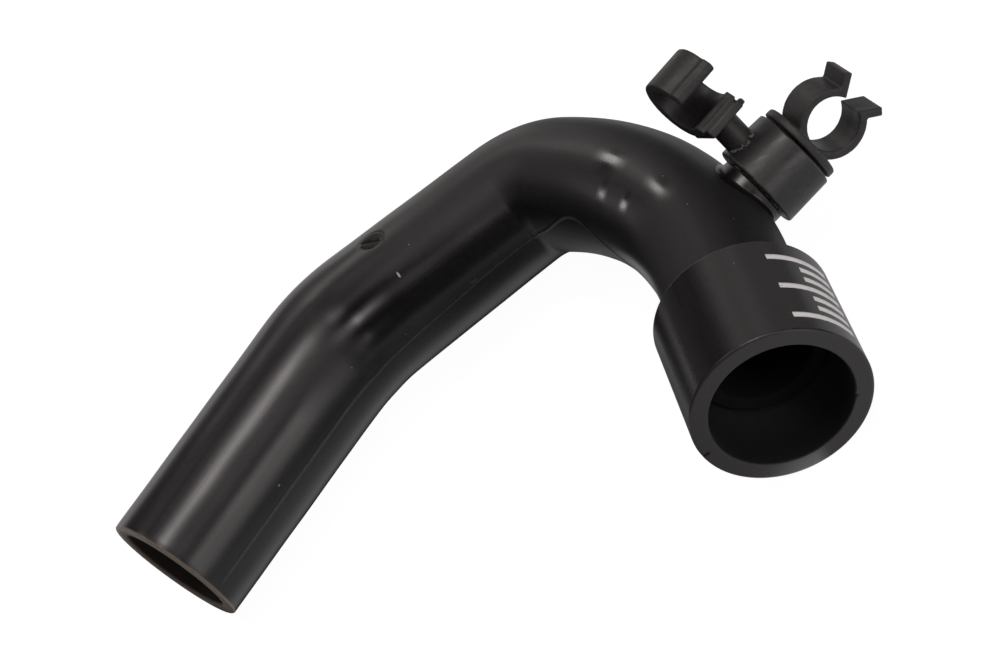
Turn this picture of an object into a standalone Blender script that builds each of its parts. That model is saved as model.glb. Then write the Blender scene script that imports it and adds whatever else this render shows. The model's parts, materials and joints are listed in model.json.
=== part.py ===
"""Hook-shaped moulded tube with a swivelling socket collar and two snap clips.

The tube lies on its side: its bends all lie in one level plane, the collar's mouth faces -Y and the
plain lower end points to -X. A boss on the outside of the elbow carries a swivel sleeve with a side
clip, and a cap clip that closes the swivel. Lengths are in metres and +Z is up.
"""
import math

import bmesh
import bpy
import numpy as np
from mathutils import Matrix, Vector

MM = 0.001

# Clearances
FIT_GAP = 0.3 * MM              # between pieces that touch or turn on each other
WELD_DISTANCE = 0.001 * MM      # vertices closer than this are one vertex

# Tube: outside diameters, wall and the run of its centreline, from the collar to the lower end
NECK_OD = 23.5 * MM
ELBOW_OD = 24.2 * MM            # where the wide sweep turns into the tight knee
LOWER_OD = 26.2 * MM
TUBE_WALL = 2.6 * MM
BORE_OVERRUN = 2.0 * MM         # bore cutter past both ends
NECK_INSERT = 11.0 * MM         # length of neck inside the collar
NECK_LENGTH = 10.9 * MM         # straight neck outside the collar
SWEEP_RADIUS = 60.0 * MM
SWEEP_ANGLE = math.radians(47.4)
KNEE_RADIUS = 14.0 * MM
KNEE_ANGLE = math.radians(47.4)
MIDDLE_LENGTH = 32.8 * MM
BEND_RADIUS = 27.0 * MM
BEND_ANGLE = math.radians(26.8)
LOWER_LENGTH = 45.8 * MM
SWEEP_STEPS = 9
KNEE_STEPS = 8
BEND_STEPS = 5

# Collar: a turned socket that runs on the neck
COLLAR_LENGTH = 24.0 * MM
COLLAR_MOUTH_OD = 31.4 * MM
COLLAR_TOP_OD = 30.8 * MM
SOCKET_ID = 24.8 * MM
COLLAR_EDGE = 0.4 * MM          # rounding of the outer edges
COLLAR_LEAD_IN = 0.8 * MM       # chamfer where the neck goes in

# Seal ring and split snap ring between neck and collar, measured from the collar's top
SEAL_SECTION = 1.7 * MM
SEAL_STATION = 7.4 * MM
SNAP_RING_THICKNESS = 1.2 * MM
SNAP_RING_WIDTH = 1.9 * MM      # radial width
SNAP_RING_STATION = 3.9 * MM
SNAP_RING_GAP = math.radians(9.0)

# Boss and spigot on the outside of the sweep
BOSS_STATION = math.radians(11.3)   # along the sweep, from the neck
BOSS_TILT = math.radians(5.5)       # axis turned on from the tube's own normal, away from the collar
BOSS_OD = 13.1 * MM
BOSS_RISE = 0.5 * MM                # boss top above the tube's crown
BOSS_ROOT = 2.4 * MM                # boss foot inside the tube's wall
SPIGOT_OD = 8.0 * MM
SPIGOT_FLOOR = 1.6 * MM             # floor of the blind spigot bore above the crown

# Swivel sleeve
SLEEVE_LENGTH = 9.5 * MM
SLEEVE_FOOT_OD = 16.5 * MM
SLEEVE_TOP_OD = 16.0 * MM
SLEEVE_EDGE = 0.3 * MM
SLEEVE_TURN = math.radians(-21.0)   # side clip leans this far from upright
WASHER_WIDTH = 0.9 * MM             # radial width
WASHER_THICKNESS = 0.8 * MM
CAP_GROOVE = 0.5 * MM               # open groove between sleeve and cap flange

# Cap clip: flange, split plug in the spigot, and a C-clip that opens along the swivel axis
CAP_FLANGE_OD = 15.3 * MM
CAP_FLANGE_THICKNESS = 1.6 * MM
CAP_FLANGE_EDGE = 0.5 * MM
CAP_TURN = math.radians(-10.4)
PLUG_OD = 4.0 * MM
PLUG_BARB_OD = 4.9 * MM
PLUG_BARB_LENGTH = 1.2 * MM
PLUG_TIP_GAP = 1.2 * MM             # plug end above the spigot's floor
PLUG_SLOT = 0.9 * MM
PLUG_SLOT_DEPTH = 5.0 * MM
CAP_RING_ID = 9.7 * MM
CAP_RING_WALL = 1.5 * MM
CAP_RING_WIDTH = 7.7 * MM
CAP_RING_SINK = 1.2 * MM            # ring wall sunk into the flange
CAP_MOUTH = 3.5 * MM                # clear gap between the tips
CAP_TIP_LENGTH = 4.5 * MM
CAP_TIP_FLARE = math.radians(36.0)
CAP_TIP_THICKNESS = 1.5 * MM

# Side clip: shank bonded into the sleeve, base plate and a C-clip that opens sideways
SHANK_OD = 5.3 * MM
SHANK_STATION = 3.5 * MM            # above the sleeve's foot
SHANK_LENGTH = 4.6 * MM             # between sleeve and plate
SHANK_WEB = 0.5 * MM                # wall left between shank hole and washer pocket
PLATE_THICKNESS = 1.4 * MM
PLATE_LENGTH = 7.3 * MM
PLATE_WIDTH = 7.0 * MM
SIDE_WEB_WIDTH = 5.0 * MM
SIDE_RING_ID = 9.0 * MM
SIDE_RING_WALL = 1.9 * MM
SIDE_RING_WIDTH = 8.6 * MM
SIDE_RING_LIFT = 1.1 * MM           # plate underside to the foot of the ring
SIDE_RING_SHIFT = 0.55 * MM         # ring and plate stand off the shank's middle, to the tube
SIDE_MOUTH = 2.5 * MM               # clear gap between the lips
SIDE_LIP_RADIUS = 1.15 * MM
SIDE_CLIP_TURN = math.radians(12.0)

# Facets
TUBE_SIDES_RESOLUTION = 18          # gives 40 sides
TURNED_STEPS = 48
SMALL_TURNED_STEPS = 32
CLIP_ARC_STEPS = 28
BEAD_STEPS = 9
SEAL_SECTION_STEPS = 10
SMOOTH_ANGLE = math.radians(35.0)   # sharper edges stay crisp

# Derived sizes
SWEEP_CENTRE = Vector((-SWEEP_RADIUS, NECK_LENGTH, 0.0))
COLLAR_BORE_R = NECK_OD / 2 + FIT_GAP
SEAL_GROOVE_WIDTH = SEAL_SECTION + 2 * FIT_GAP
SEAL_RADIUS = NECK_OD / 2 + FIT_GAP / 2
SNAP_GROOVE_WIDTH = SNAP_RING_THICKNESS + 2 * FIT_GAP
SNAP_RING_IN_R = NECK_OD / 2 + FIT_GAP / 2 - SNAP_RING_WIDTH / 2
SNAP_RING_OUT_R = SNAP_RING_IN_R + SNAP_RING_WIDTH
SLEEVE_FOOT = BOSS_RISE + FIT_GAP
SLEEVE_TOP = SLEEVE_FOOT + SLEEVE_LENGTH
SLEEVE_BORE_R = SPIGOT_OD / 2 + FIT_GAP
WASHER_POCKET = WASHER_THICKNESS + FIT_GAP
WASHER_OUT_R = SLEEVE_BORE_R + WASHER_WIDTH
WASHER_POCKET_R = WASHER_OUT_R + FIT_GAP
FLANGE_FOOT = SLEEVE_TOP + CAP_GROOVE
FLANGE_TOP = FLANGE_FOOT + CAP_FLANGE_THICKNESS
UPPER_WASHER_FOOT = FLANGE_FOOT - FIT_GAP - WASHER_THICKNESS
SPIGOT_TOP = FLANGE_FOOT - FIT_GAP
SPIGOT_BORE_R = PLUG_OD / 2 + FIT_GAP
PLUG_END = SPIGOT_FLOOR + PLUG_TIP_GAP
BARB_FOOT = PLUG_END + PLUG_BARB_LENGTH / 2
BARB_TOP = BARB_FOOT + PLUG_BARB_LENGTH
CAP_RING_OUT_R = CAP_RING_ID / 2 + CAP_RING_WALL
CAP_RING_CENTRE = FLANGE_TOP - CAP_RING_SINK + CAP_RING_OUT_R
SHANK_HEIGHT = SLEEVE_FOOT + SHANK_STATION
SHANK_HOLE_FLOOR = WASHER_POCKET_R + SHANK_WEB
SLEEVE_MID_R = (SLEEVE_FOOT_OD + SLEEVE_TOP_OD) / 4
PLATE_FOOT = SLEEVE_MID_R + SHANK_LENGTH
SIDE_RING_OUT_R = SIDE_RING_ID / 2 + SIDE_RING_WALL
SIDE_RING_CENTRE = PLATE_FOOT + SIDE_RING_LIFT + SIDE_RING_OUT_R


def clear_scene():
    for item in list(bpy.data.objects):
        bpy.data.objects.remove(item, do_unlink=True)


def new_collection(name):
    collection = bpy.data.collections.new(name)
    bpy.context.scene.collection.children.link(collection)
    return collection


def new_material(name, colour, roughness):
    material = bpy.data.materials.new(name)
    material.use_nodes = True
    shader = material.node_tree.nodes["Principled BSDF"]
    shader.inputs["Base Color"].default_value = (*colour, 1.0)
    shader.inputs["Roughness"].default_value = roughness
    shader.inputs["Metallic"].default_value = 0.0
    return material


def new_object(name, data, collection):
    item = bpy.data.objects.new(name, data)
    collection.objects.link(item)
    return item


def new_empty(name, matrix, parent):
    item = new_object(name, None, PARTS)
    item.parent = parent
    item.matrix_local = matrix
    return item


def tidy_mesh(mesh):
    """Welds loose caps and turns every face outwards."""
    work = bmesh.new()
    work.from_mesh(mesh)
    bmesh.ops.remove_doubles(work, verts=work.verts, dist=WELD_DISTANCE)
    bmesh.ops.recalc_face_normals(work, faces=work.faces)
    work.to_mesh(mesh)
    work.free()


def as_mesh(item, collection):
    """Turns a curve object into a welded mesh object of the same name and place."""
    bpy.context.view_layer.update()
    evaluated = item.evaluated_get(bpy.context.evaluated_depsgraph_get())
    mesh = bpy.data.meshes.new_from_object(evaluated)
    name = item.name
    matrix = item.matrix_world.copy()
    bpy.data.objects.remove(item, do_unlink=True)
    tidy_mesh(mesh)
    solid = new_object(name, mesh, collection)
    solid.matrix_world = matrix
    return solid


def turned(name, profile, collection, closed, steps=TURNED_STEPS):
    """Solid of revolution about local Z from (radius, height) points, outer side first, top to bottom."""
    mesh = bpy.data.meshes.new(name)
    points = [(radius, 0.0, height) for radius, height in profile]
    edges = [(i, i + 1) for i in range(len(points) - 1)]
    if closed:
        edges.append((len(points) - 1, 0))
    mesh.from_pydata(points, edges, [])
    item = new_object(name, mesh, collection)
    screw = item.modifiers.new("Turn", "SCREW")
    screw.steps = steps
    screw.render_steps = steps
    screw.use_merge_vertices = True
    screw.merge_threshold = WELD_DISTANCE
    return item


def plate(name, outline, thickness, collection):
    """Flat outline in local XY, as thick as given, centred on its plane."""
    curve = bpy.data.curves.new(name, "CURVE")
    curve.dimensions = "2D"
    curve.fill_mode = "BOTH"
    curve.extrude = thickness / 2
    spline = curve.splines.new("POLY")
    spline.points.add(len(outline) - 1)
    for point, (x, y) in zip(spline.points, outline):
        point.co = (x, y, 0.0, 1.0)
    spline.use_cyclic_u = True
    return as_mesh(new_object(name, curve, collection), collection)


def box(name, size, centre, collection):
    mesh = bpy.data.meshes.new(name)
    work = bmesh.new()
    bmesh.ops.create_cube(work, size=1.0)
    work.to_mesh(mesh)
    work.free()
    mesh.transform(Matrix.Translation(centre) @ Matrix.Diagonal((*size, 1.0)))
    return new_object(name, mesh, collection)


def rod(name, radius, start, end, collection):
    """Cylinder along local X."""
    mesh = bpy.data.meshes.new(name)
    work = bmesh.new()
    bmesh.ops.create_cone(work, cap_ends=True, segments=SMALL_TURNED_STEPS, radius1=radius,
                          radius2=radius, depth=end - start)
    work.to_mesh(mesh)
    work.free()
    lie_along_x = Matrix.Rotation(math.pi / 2, 4, "Y")
    mesh.transform(Matrix.Translation(((start + end) / 2, 0.0, 0.0)) @ lie_along_x)
    return new_object(name, mesh, collection)


def combine(item, tool, operation, parent=None):
    """Adds a Boolean; the tool is hidden and rides with its parent."""
    tool.parent = parent
    tool.hide_render = True
    tool.display_type = "WIRE"
    boolean = item.modifiers.new(tool.name, "BOOLEAN")
    boolean.operation = operation
    boolean.solver = "EXACT"
    boolean.object = tool


def finish(item, material, parent):
    """Gives a sub-part its material, its parent and smooth round faces."""
    item.data.materials.clear()
    item.data.materials.append(material)
    item.parent = parent
    item.data.shade_smooth()
    item.data.set_sharp_from_angle(angle=SMOOTH_ANGLE)


def straight(length):
    return [(length, 0.0)]


def arc(radius, angle, steps):
    """Chords of an arc, each with the turn that it makes."""
    turn = angle / steps
    return [(2 * radius * math.sin(turn / 2), turn)] * steps


def centreline():
    """Points from inside the collar to the lower end, the length run at each, and each leg's end."""
    legs = [
        straight(NECK_INSERT + NECK_LENGTH),
        arc(SWEEP_RADIUS, SWEEP_ANGLE, SWEEP_STEPS),
        arc(KNEE_RADIUS, KNEE_ANGLE, KNEE_STEPS),
        straight(MIDDLE_LENGTH),
        arc(BEND_RADIUS, BEND_ANGLE, BEND_STEPS),
        straight(LOWER_LENGTH),
    ]
    point = Vector((0.0, -NECK_INSERT, 0.0))
    heading = math.pi / 2
    points, runs, leg_ends = [point.copy()], [0.0], []
    for leg in legs:
        for length, turn in leg:
            heading += turn / 2
            point = point + length * Vector((math.cos(heading), math.sin(heading), 0.0))
            heading += turn / 2
            points.append(point)
            runs.append(runs[-1] + length)
        leg_ends.append(runs[-1])
    return points, runs, leg_ends


def outside_radius(run, leg_ends):
    """Tube radius after a run along the centreline: neck, elbow and lower end, with even tapers."""
    neck_end, sweep_end, _, middle_end, bend_end, _ = leg_ends
    stations = [neck_end, sweep_end, (middle_end + bend_end) / 2]
    return float(np.interp(run, stations, [NECK_OD / 2, ELBOW_OD / 2, LOWER_OD / 2]))


def pipe(name, points, radii, collection):
    """Round solid along points with a radius at each; its sides come from the bevel resolution."""
    curve = bpy.data.curves.new(name, "CURVE")
    curve.dimensions = "3D"
    curve.bevel_depth = 1.0
    curve.bevel_resolution = TUBE_SIDES_RESOLUTION
    curve.use_fill_caps = True
    spline = curve.splines.new("POLY")
    spline.points.add(len(points) - 1)
    for spot, place, radius in zip(spline.points, points, radii):
        spot.co = (*place, 1.0)
        spot.radius = radius
    return as_mesh(new_object(name, curve, collection), collection)


def swivel_frame():
    """Swivel axis at the tube's crown: local Z along the axis, local X up, local Y to the mouth's side."""
    leg_ends = centreline()[2]
    crown_r = outside_radius(leg_ends[0] + SWEEP_RADIUS * BOSS_STATION, leg_ends)
    reach = SWEEP_RADIUS + crown_r
    crown = SWEEP_CENTRE + reach * Vector((math.cos(BOSS_STATION), math.sin(BOSS_STATION), 0.0))
    angle = BOSS_STATION + BOSS_TILT
    axis = Vector((math.cos(angle), math.sin(angle), 0.0))
    up = Vector((0.0, 0.0, 1.0))
    return Matrix.Translation(crown) @ Matrix((up, axis.cross(up), axis)).transposed().to_4x4()


def neck_groove(name, floor_r, station, width):
    """Cutter for a groove round the neck."""
    profile = [
        (COLLAR_BORE_R, station + width / 2),
        (COLLAR_BORE_R, station - width / 2),
        (floor_r, station - width / 2),
        (floor_r, station + width / 2),
    ]
    return turned(name, profile, CUTTERS, closed=True)


def make_tube(root, neck_axis, swivel_axis):
    points, runs, leg_ends = centreline()
    radii = [outside_radius(run, leg_ends) for run in runs]
    tube = pipe("tube", points, radii, PARTS)

    boss_r, spigot_r = BOSS_OD / 2, SPIGOT_OD / 2
    boss_profile = [
        (0.0, SPIGOT_TOP),
        (spigot_r - FIT_GAP, SPIGOT_TOP),
        (spigot_r, SPIGOT_TOP - FIT_GAP),
        (spigot_r, BOSS_RISE),
        (boss_r, BOSS_RISE),
        (boss_r, -BOSS_ROOT),
        (0.0, -BOSS_ROOT),
    ]
    combine(tube, turned("boss_shape", boss_profile, CUTTERS, closed=False), "UNION", swivel_axis)

    first, last = (points[0] - points[1]).normalized(), (points[-1] - points[-2]).normalized()
    bore_points = [points[0] + BORE_OVERRUN * first, *points[1:-1], points[-1] + BORE_OVERRUN * last]
    bore = pipe("bore_cutter", bore_points, [radius - TUBE_WALL for radius in radii], CUTTERS)
    combine(tube, bore, "DIFFERENCE", root)

    barb_pocket_r = PLUG_BARB_OD / 2 + FIT_GAP
    spigot_bore = [
        (0.0, SPIGOT_TOP + FIT_GAP),
        (SPIGOT_BORE_R, SPIGOT_TOP + FIT_GAP),
        (SPIGOT_BORE_R, BARB_TOP + FIT_GAP),
        (barb_pocket_r, BARB_TOP + FIT_GAP),
        (barb_pocket_r, SPIGOT_FLOOR),
        (0.0, SPIGOT_FLOOR),
    ]
    cutter = turned("spigot_bore_cutter", spigot_bore, CUTTERS, False, SMALL_TURNED_STEPS)
    combine(tube, cutter, "DIFFERENCE", swivel_axis)

    seal_floor = SEAL_RADIUS - SEAL_SECTION / 2 - FIT_GAP
    snap_floor = SNAP_RING_IN_R - FIT_GAP
    seal_groove = neck_groove("seal_groove_cutter", seal_floor, SEAL_STATION, SEAL_GROOVE_WIDTH)
    snap_groove = neck_groove("snap_groove_cutter", snap_floor, SNAP_RING_STATION, SNAP_GROOVE_WIDTH)
    combine(tube, seal_groove, "DIFFERENCE", neck_axis)
    combine(tube, snap_groove, "DIFFERENCE", neck_axis)
    finish(tube, new_material("gloss black", (0.012, 0.012, 0.013), 0.22), root)


def make_collar(neck_axis):
    """Local Z runs from the collar's top, where the neck goes in, to its mouth."""
    mouth_r, top_r, socket_r = COLLAR_MOUTH_OD / 2, COLLAR_TOP_OD / 2, SOCKET_ID / 2
    seal_roof = SEAL_RADIUS + SEAL_SECTION / 2 + FIT_GAP
    snap_roof = SNAP_RING_OUT_R + FIT_GAP
    seal_low = SEAL_STATION - SEAL_GROOVE_WIDTH / 2
    seal_high = SEAL_STATION + SEAL_GROOVE_WIDTH / 2
    snap_low = SNAP_RING_STATION - SNAP_GROOVE_WIDTH / 2
    snap_high = SNAP_RING_STATION + SNAP_GROOVE_WIDTH / 2
    shoulder = NECK_INSERT + FIT_GAP
    profile = [
        (mouth_r - COLLAR_EDGE, COLLAR_LENGTH),
        (mouth_r, COLLAR_LENGTH - COLLAR_EDGE),
        (top_r, COLLAR_EDGE),
        (top_r - COLLAR_EDGE, 0.0),
        (COLLAR_BORE_R + COLLAR_LEAD_IN, 0.0),
        (COLLAR_BORE_R, COLLAR_LEAD_IN),
        (COLLAR_BORE_R, snap_low),
        (snap_roof, snap_low),
        (snap_roof, snap_high),
        (COLLAR_BORE_R, snap_high),
        (COLLAR_BORE_R, seal_low),
        (seal_roof, seal_low),
        (seal_roof, seal_high),
        (COLLAR_BORE_R, seal_high),
        (COLLAR_BORE_R, shoulder),
        (socket_r, shoulder),
        (socket_r, COLLAR_LENGTH),
    ]
    collar = turned("collar", profile, PARTS, closed=True)
    finish(collar, new_material("satin black rubber", (0.025, 0.024, 0.024), 0.48), neck_axis)


def make_collar_seal(neck_axis):
    section = [2 * math.pi * i / SEAL_SECTION_STEPS for i in range(SEAL_SECTION_STEPS)]
    profile = [
        (SEAL_RADIUS + SEAL_SECTION / 2 * math.cos(a), SEAL_STATION - SEAL_SECTION / 2 * math.sin(a))
        for a in section
    ]
    seal = turned("collar_seal", profile, PARTS, closed=True)
    finish(seal, new_material("seal rubber", (0.02, 0.02, 0.02), 0.6), neck_axis)


def c_outline(centre_y, inner_r, outer_r, right_end):
    """C-shaped outline that opens along +Y; right_end lists its right end, inner side first."""
    left_end = [(-x, y) for x, y in reversed(right_end)]
    inner_start = math.atan2(right_end[0][0], right_end[0][1])
    outer_start = math.atan2(right_end[-1][0], right_end[-1][1])
    steps = range(1, CLIP_ARC_STEPS)

    def on_circle(radius, start, share):
        angle = start + share * 2 * (math.pi - start)
        return radius * math.sin(angle), radius * math.cos(angle)

    outer = [on_circle(outer_r, outer_start, i / CLIP_ARC_STEPS) for i in steps]
    inner = [on_circle(inner_r, inner_start, i / CLIP_ARC_STEPS) for i in reversed(steps)]
    loop = [*right_end, *outer, *left_end, *inner]
    return [(x, centre_y + y) for x, y in loop]


def flared_end(inner_r, outer_r):
    """Right end of the cap's C-clip, which runs out into a straight flared tip."""
    half_gap = CAP_MOUTH / 2
    corner = Vector((half_gap, math.sqrt(inner_r ** 2 - half_gap ** 2)))
    along = Vector((math.sin(CAP_TIP_FLARE), math.cos(CAP_TIP_FLARE)))
    across = Vector((math.cos(CAP_TIP_FLARE), -math.sin(CAP_TIP_FLARE))) * CAP_TIP_THICKNESS
    root = corner + across
    ahead = root.dot(along)
    meet = root + along * (math.sqrt(ahead ** 2 + outer_r ** 2 - root.length_squared) - ahead)
    tip = corner + along * CAP_TIP_LENGTH
    return [tuple(corner), tuple(tip), tuple(tip + across), tuple(meet)]


def beaded_end(inner_r, outer_r):
    """Right end of the side clip's C, with a round bead for a lip."""
    middle_r = (inner_r + outer_r) / 2
    bead_r = SIDE_LIP_RADIUS
    bead_x = SIDE_MOUTH / 2 + bead_r
    bead_angle = math.asin(bead_x / middle_r)
    bead = Vector((bead_x, middle_r * math.cos(bead_angle)))

    def meeting(radius):
        cosine = (middle_r ** 2 + radius ** 2 - bead_r ** 2) / (2 * middle_r * radius)
        angle = bead_angle + math.acos(cosine)
        return Vector((radius * math.sin(angle), radius * math.cos(angle)))

    start, end = meeting(inner_r), meeting(outer_r)
    first = math.atan2(start.y - bead.y, start.x - bead.x)
    last = math.atan2(end.y - bead.y, end.x - bead.x)
    sweep = (first - last) % (2 * math.pi)
    angles = [first - sweep * i / BEAD_STEPS for i in range(1, BEAD_STEPS)]
    around = [(bead.x + bead_r * math.cos(a), bead.y + bead_r * math.sin(a)) for a in angles]
    return [tuple(start), *around, tuple(end)]


def cut_end(inner_r, outer_r, half_angle):
    """Right end of a split ring, cut square."""
    return [(radius * math.sin(half_angle), radius * math.cos(half_angle)) for radius in (inner_r, outer_r)]


def make_collar_snap_ring(neck_axis):
    end = cut_end(SNAP_RING_IN_R, SNAP_RING_OUT_R, SNAP_RING_GAP)
    outline = c_outline(0.0, SNAP_RING_IN_R, SNAP_RING_OUT_R, end)
    ring = plate("collar_snap_ring", outline, SNAP_RING_THICKNESS, PARTS)
    ring.data.transform(Matrix.Translation((0.0, 0.0, SNAP_RING_STATION)))
    finish(ring, new_material("ring plastic", (0.55, 0.55, 0.52), 0.45), neck_axis)


def make_washer(name, foot, swivel_axis):
    profile = [
        (WASHER_OUT_R, foot + WASHER_THICKNESS),
        (WASHER_OUT_R, foot),
        (SLEEVE_BORE_R, foot),
        (SLEEVE_BORE_R, foot + WASHER_THICKNESS),
    ]
    washer = turned(name, profile, PARTS, True, SMALL_TURNED_STEPS)
    finish(washer, new_material(name + " plastic", (0.6, 0.6, 0.58), 0.5), swivel_axis)


def make_sleeve(swivel_axis):
    foot_r, top_r = SLEEVE_FOOT_OD / 2, SLEEVE_TOP_OD / 2
    upper_floor = UPPER_WASHER_FOOT - FIT_GAP
    profile = [
        (top_r - SLEEVE_EDGE, SLEEVE_TOP),
        (top_r, SLEEVE_TOP - SLEEVE_EDGE),
        (foot_r, SLEEVE_FOOT + SLEEVE_EDGE),
        (foot_r - SLEEVE_EDGE, SLEEVE_FOOT),
        (WASHER_POCKET_R, SLEEVE_FOOT),
        (WASHER_POCKET_R, SLEEVE_FOOT + WASHER_POCKET),
        (SLEEVE_BORE_R, SLEEVE_FOOT + WASHER_POCKET),
        (SLEEVE_BORE_R, upper_floor),
        (WASHER_POCKET_R, upper_floor),
        (WASHER_POCKET_R, SLEEVE_TOP),
    ]
    sleeve = turned("swivel_sleeve", profile, PARTS, closed=True)
    hole = rod("shank_hole_cutter", SHANK_OD / 2 + FIT_GAP, SHANK_HOLE_FLOOR, SLEEVE_FOOT_OD, CUTTERS)
    hole.location.z = SHANK_HEIGHT
    combine(sleeve, hole, "DIFFERENCE", sleeve)
    finish(sleeve, new_material("sleeve plastic", (0.04, 0.038, 0.038), 0.5), swivel_axis)
    sleeve.rotation_euler.z = SLEEVE_TURN
    return sleeve


def make_cap_clip(swivel_axis):
    flange_r, plug_r, barb_r = CAP_FLANGE_OD / 2, PLUG_OD / 2, PLUG_BARB_OD / 2
    profile = [
        (0.0, FLANGE_TOP),
        (flange_r - CAP_FLANGE_EDGE, FLANGE_TOP),
        (flange_r, FLANGE_TOP - CAP_FLANGE_EDGE),
        (flange_r, FLANGE_FOOT),
        (plug_r, FLANGE_FOOT),
        (plug_r, BARB_TOP),
        (barb_r, BARB_TOP),
        (barb_r, BARB_FOOT),
        (plug_r, PLUG_END),
        (0.0, PLUG_END),
    ]
    cap = turned("cap_clip", profile, PARTS, closed=False)
    inner_r = CAP_RING_ID / 2
    end = flared_end(inner_r, CAP_RING_OUT_R)
    outline = c_outline(CAP_RING_CENTRE, inner_r, CAP_RING_OUT_R, end)
    ring = plate("cap_ring_shape", outline, CAP_RING_WIDTH, CUTTERS)
    ring.data.transform(Matrix.Rotation(math.pi / 2, 4, "X"))
    combine(cap, ring, "UNION", cap)
    slot_size = (PLUG_SLOT, PLUG_BARB_OD + FIT_GAP, PLUG_SLOT_DEPTH + FIT_GAP)
    slot_centre = (0.0, 0.0, PLUG_END + (PLUG_SLOT_DEPTH - FIT_GAP) / 2)
    combine(cap, box("plug_slot_cutter", slot_size, slot_centre, CUTTERS), "DIFFERENCE", cap)
    finish(cap, new_material("cap plastic", (0.042, 0.04, 0.039), 0.52), swivel_axis)
    cap.rotation_euler.z = CAP_TURN


def make_side_clip(sleeve):
    """Local X runs out along the shank, local Y is the way the clip opens, local Z is its ring's axis."""
    inner_r = SIDE_RING_ID / 2
    end = beaded_end(inner_r, SIDE_RING_OUT_R)
    outline = c_outline(0.0, inner_r, SIDE_RING_OUT_R, end)
    clip = plate("side_clip", outline, SIDE_RING_WIDTH, PARTS)
    clip.data.transform(Matrix.Translation((SIDE_RING_CENTRE, 0.0, -SIDE_RING_SHIFT)))
    web_top = PLATE_FOOT + SIDE_RING_LIFT + SIDE_RING_WALL
    web_size = (web_top - PLATE_FOOT - FIT_GAP, SIDE_WEB_WIDTH, PLATE_LENGTH - FIT_GAP)
    web_centre = ((web_top + PLATE_FOOT + FIT_GAP) / 2, 0.0, -SIDE_RING_SHIFT)
    foot_size = (PLATE_THICKNESS, PLATE_WIDTH, PLATE_LENGTH)
    foot_centre = (PLATE_FOOT + PLATE_THICKNESS / 2, 0.0, -SIDE_RING_SHIFT)
    combine(clip, box("side_web_shape", web_size, web_centre, CUTTERS), "UNION", clip)
    combine(clip, box("side_plate_shape", foot_size, foot_centre, CUTTERS), "UNION", clip)
    shank = rod("side_shank_shape", SHANK_OD / 2, SHANK_HOLE_FLOOR + FIT_GAP, PLATE_FOOT + FIT_GAP, CUTTERS)
    combine(clip, shank, "UNION", clip)
    finish(clip, new_material("side clip plastic", (0.042, 0.04, 0.039), 0.52), sleeve)
    clip.location.z = SHANK_HEIGHT
    clip.rotation_euler.x = SIDE_CLIP_TURN


def stand_on_origin(root):
    """Moves the whole object so that its box stands on the origin, centred."""
    bpy.context.view_layer.update()
    graph = bpy.context.evaluated_depsgraph_get()
    corners = []
    for item in PARTS.objects:
        if item.type == "MESH":
            evaluated = item.evaluated_get(graph)
            corners.extend(item.matrix_world @ vertex.co for vertex in evaluated.to_mesh().vertices)
            evaluated.to_mesh_clear()
    low = np.min(corners, axis=0)
    high = np.max(corners, axis=0)
    root.location = (-(low[0] + high[0]) / 2, -(low[1] + high[1]) / 2, -low[2])
    bpy.context.view_layer.update()


clear_scene()
PARTS = new_collection("snorkel_tube")
CUTTERS = new_collection("cutters")


def main():
    root = new_empty("whole_object", Matrix.Identity(4), None)
    neck_axis = new_empty("neck_axis", Matrix.Rotation(math.pi / 2, 4, "X"), root)
    swivel_axis = new_empty("swivel_axis", swivel_frame(), root)
    make_tube(root, neck_axis, swivel_axis)
    make_collar(neck_axis)
    make_collar_seal(neck_axis)
    make_collar_snap_ring(neck_axis)
    sleeve = make_sleeve(swivel_axis)
    make_washer("lower_washer", SLEEVE_FOOT, swivel_axis)
    make_washer("upper_washer", UPPER_WASHER_FOOT, swivel_axis)
    make_cap_clip(swivel_axis)
    make_side_clip(sleeve)
    stand_on_origin(root)


main()
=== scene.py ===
# %% [markdown]
# # A hook-shaped moulded tube with a swivelling collar and two snap clips
#
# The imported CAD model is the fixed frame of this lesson. Every finished piece is built in that frame,
# in metres, so nothing has to be fitted afterwards. The CAD pieces have the right sizes but coarse
# facets and sharp edges. Here each visible one gets a fine mesh with moulded edges and a finish.

# %% Load the frame
import json
import math

import bmesh
import bpy
import numpy as np
from mathutils import Matrix, Vector
from mathutils.bvhtree import BVHTree


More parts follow.
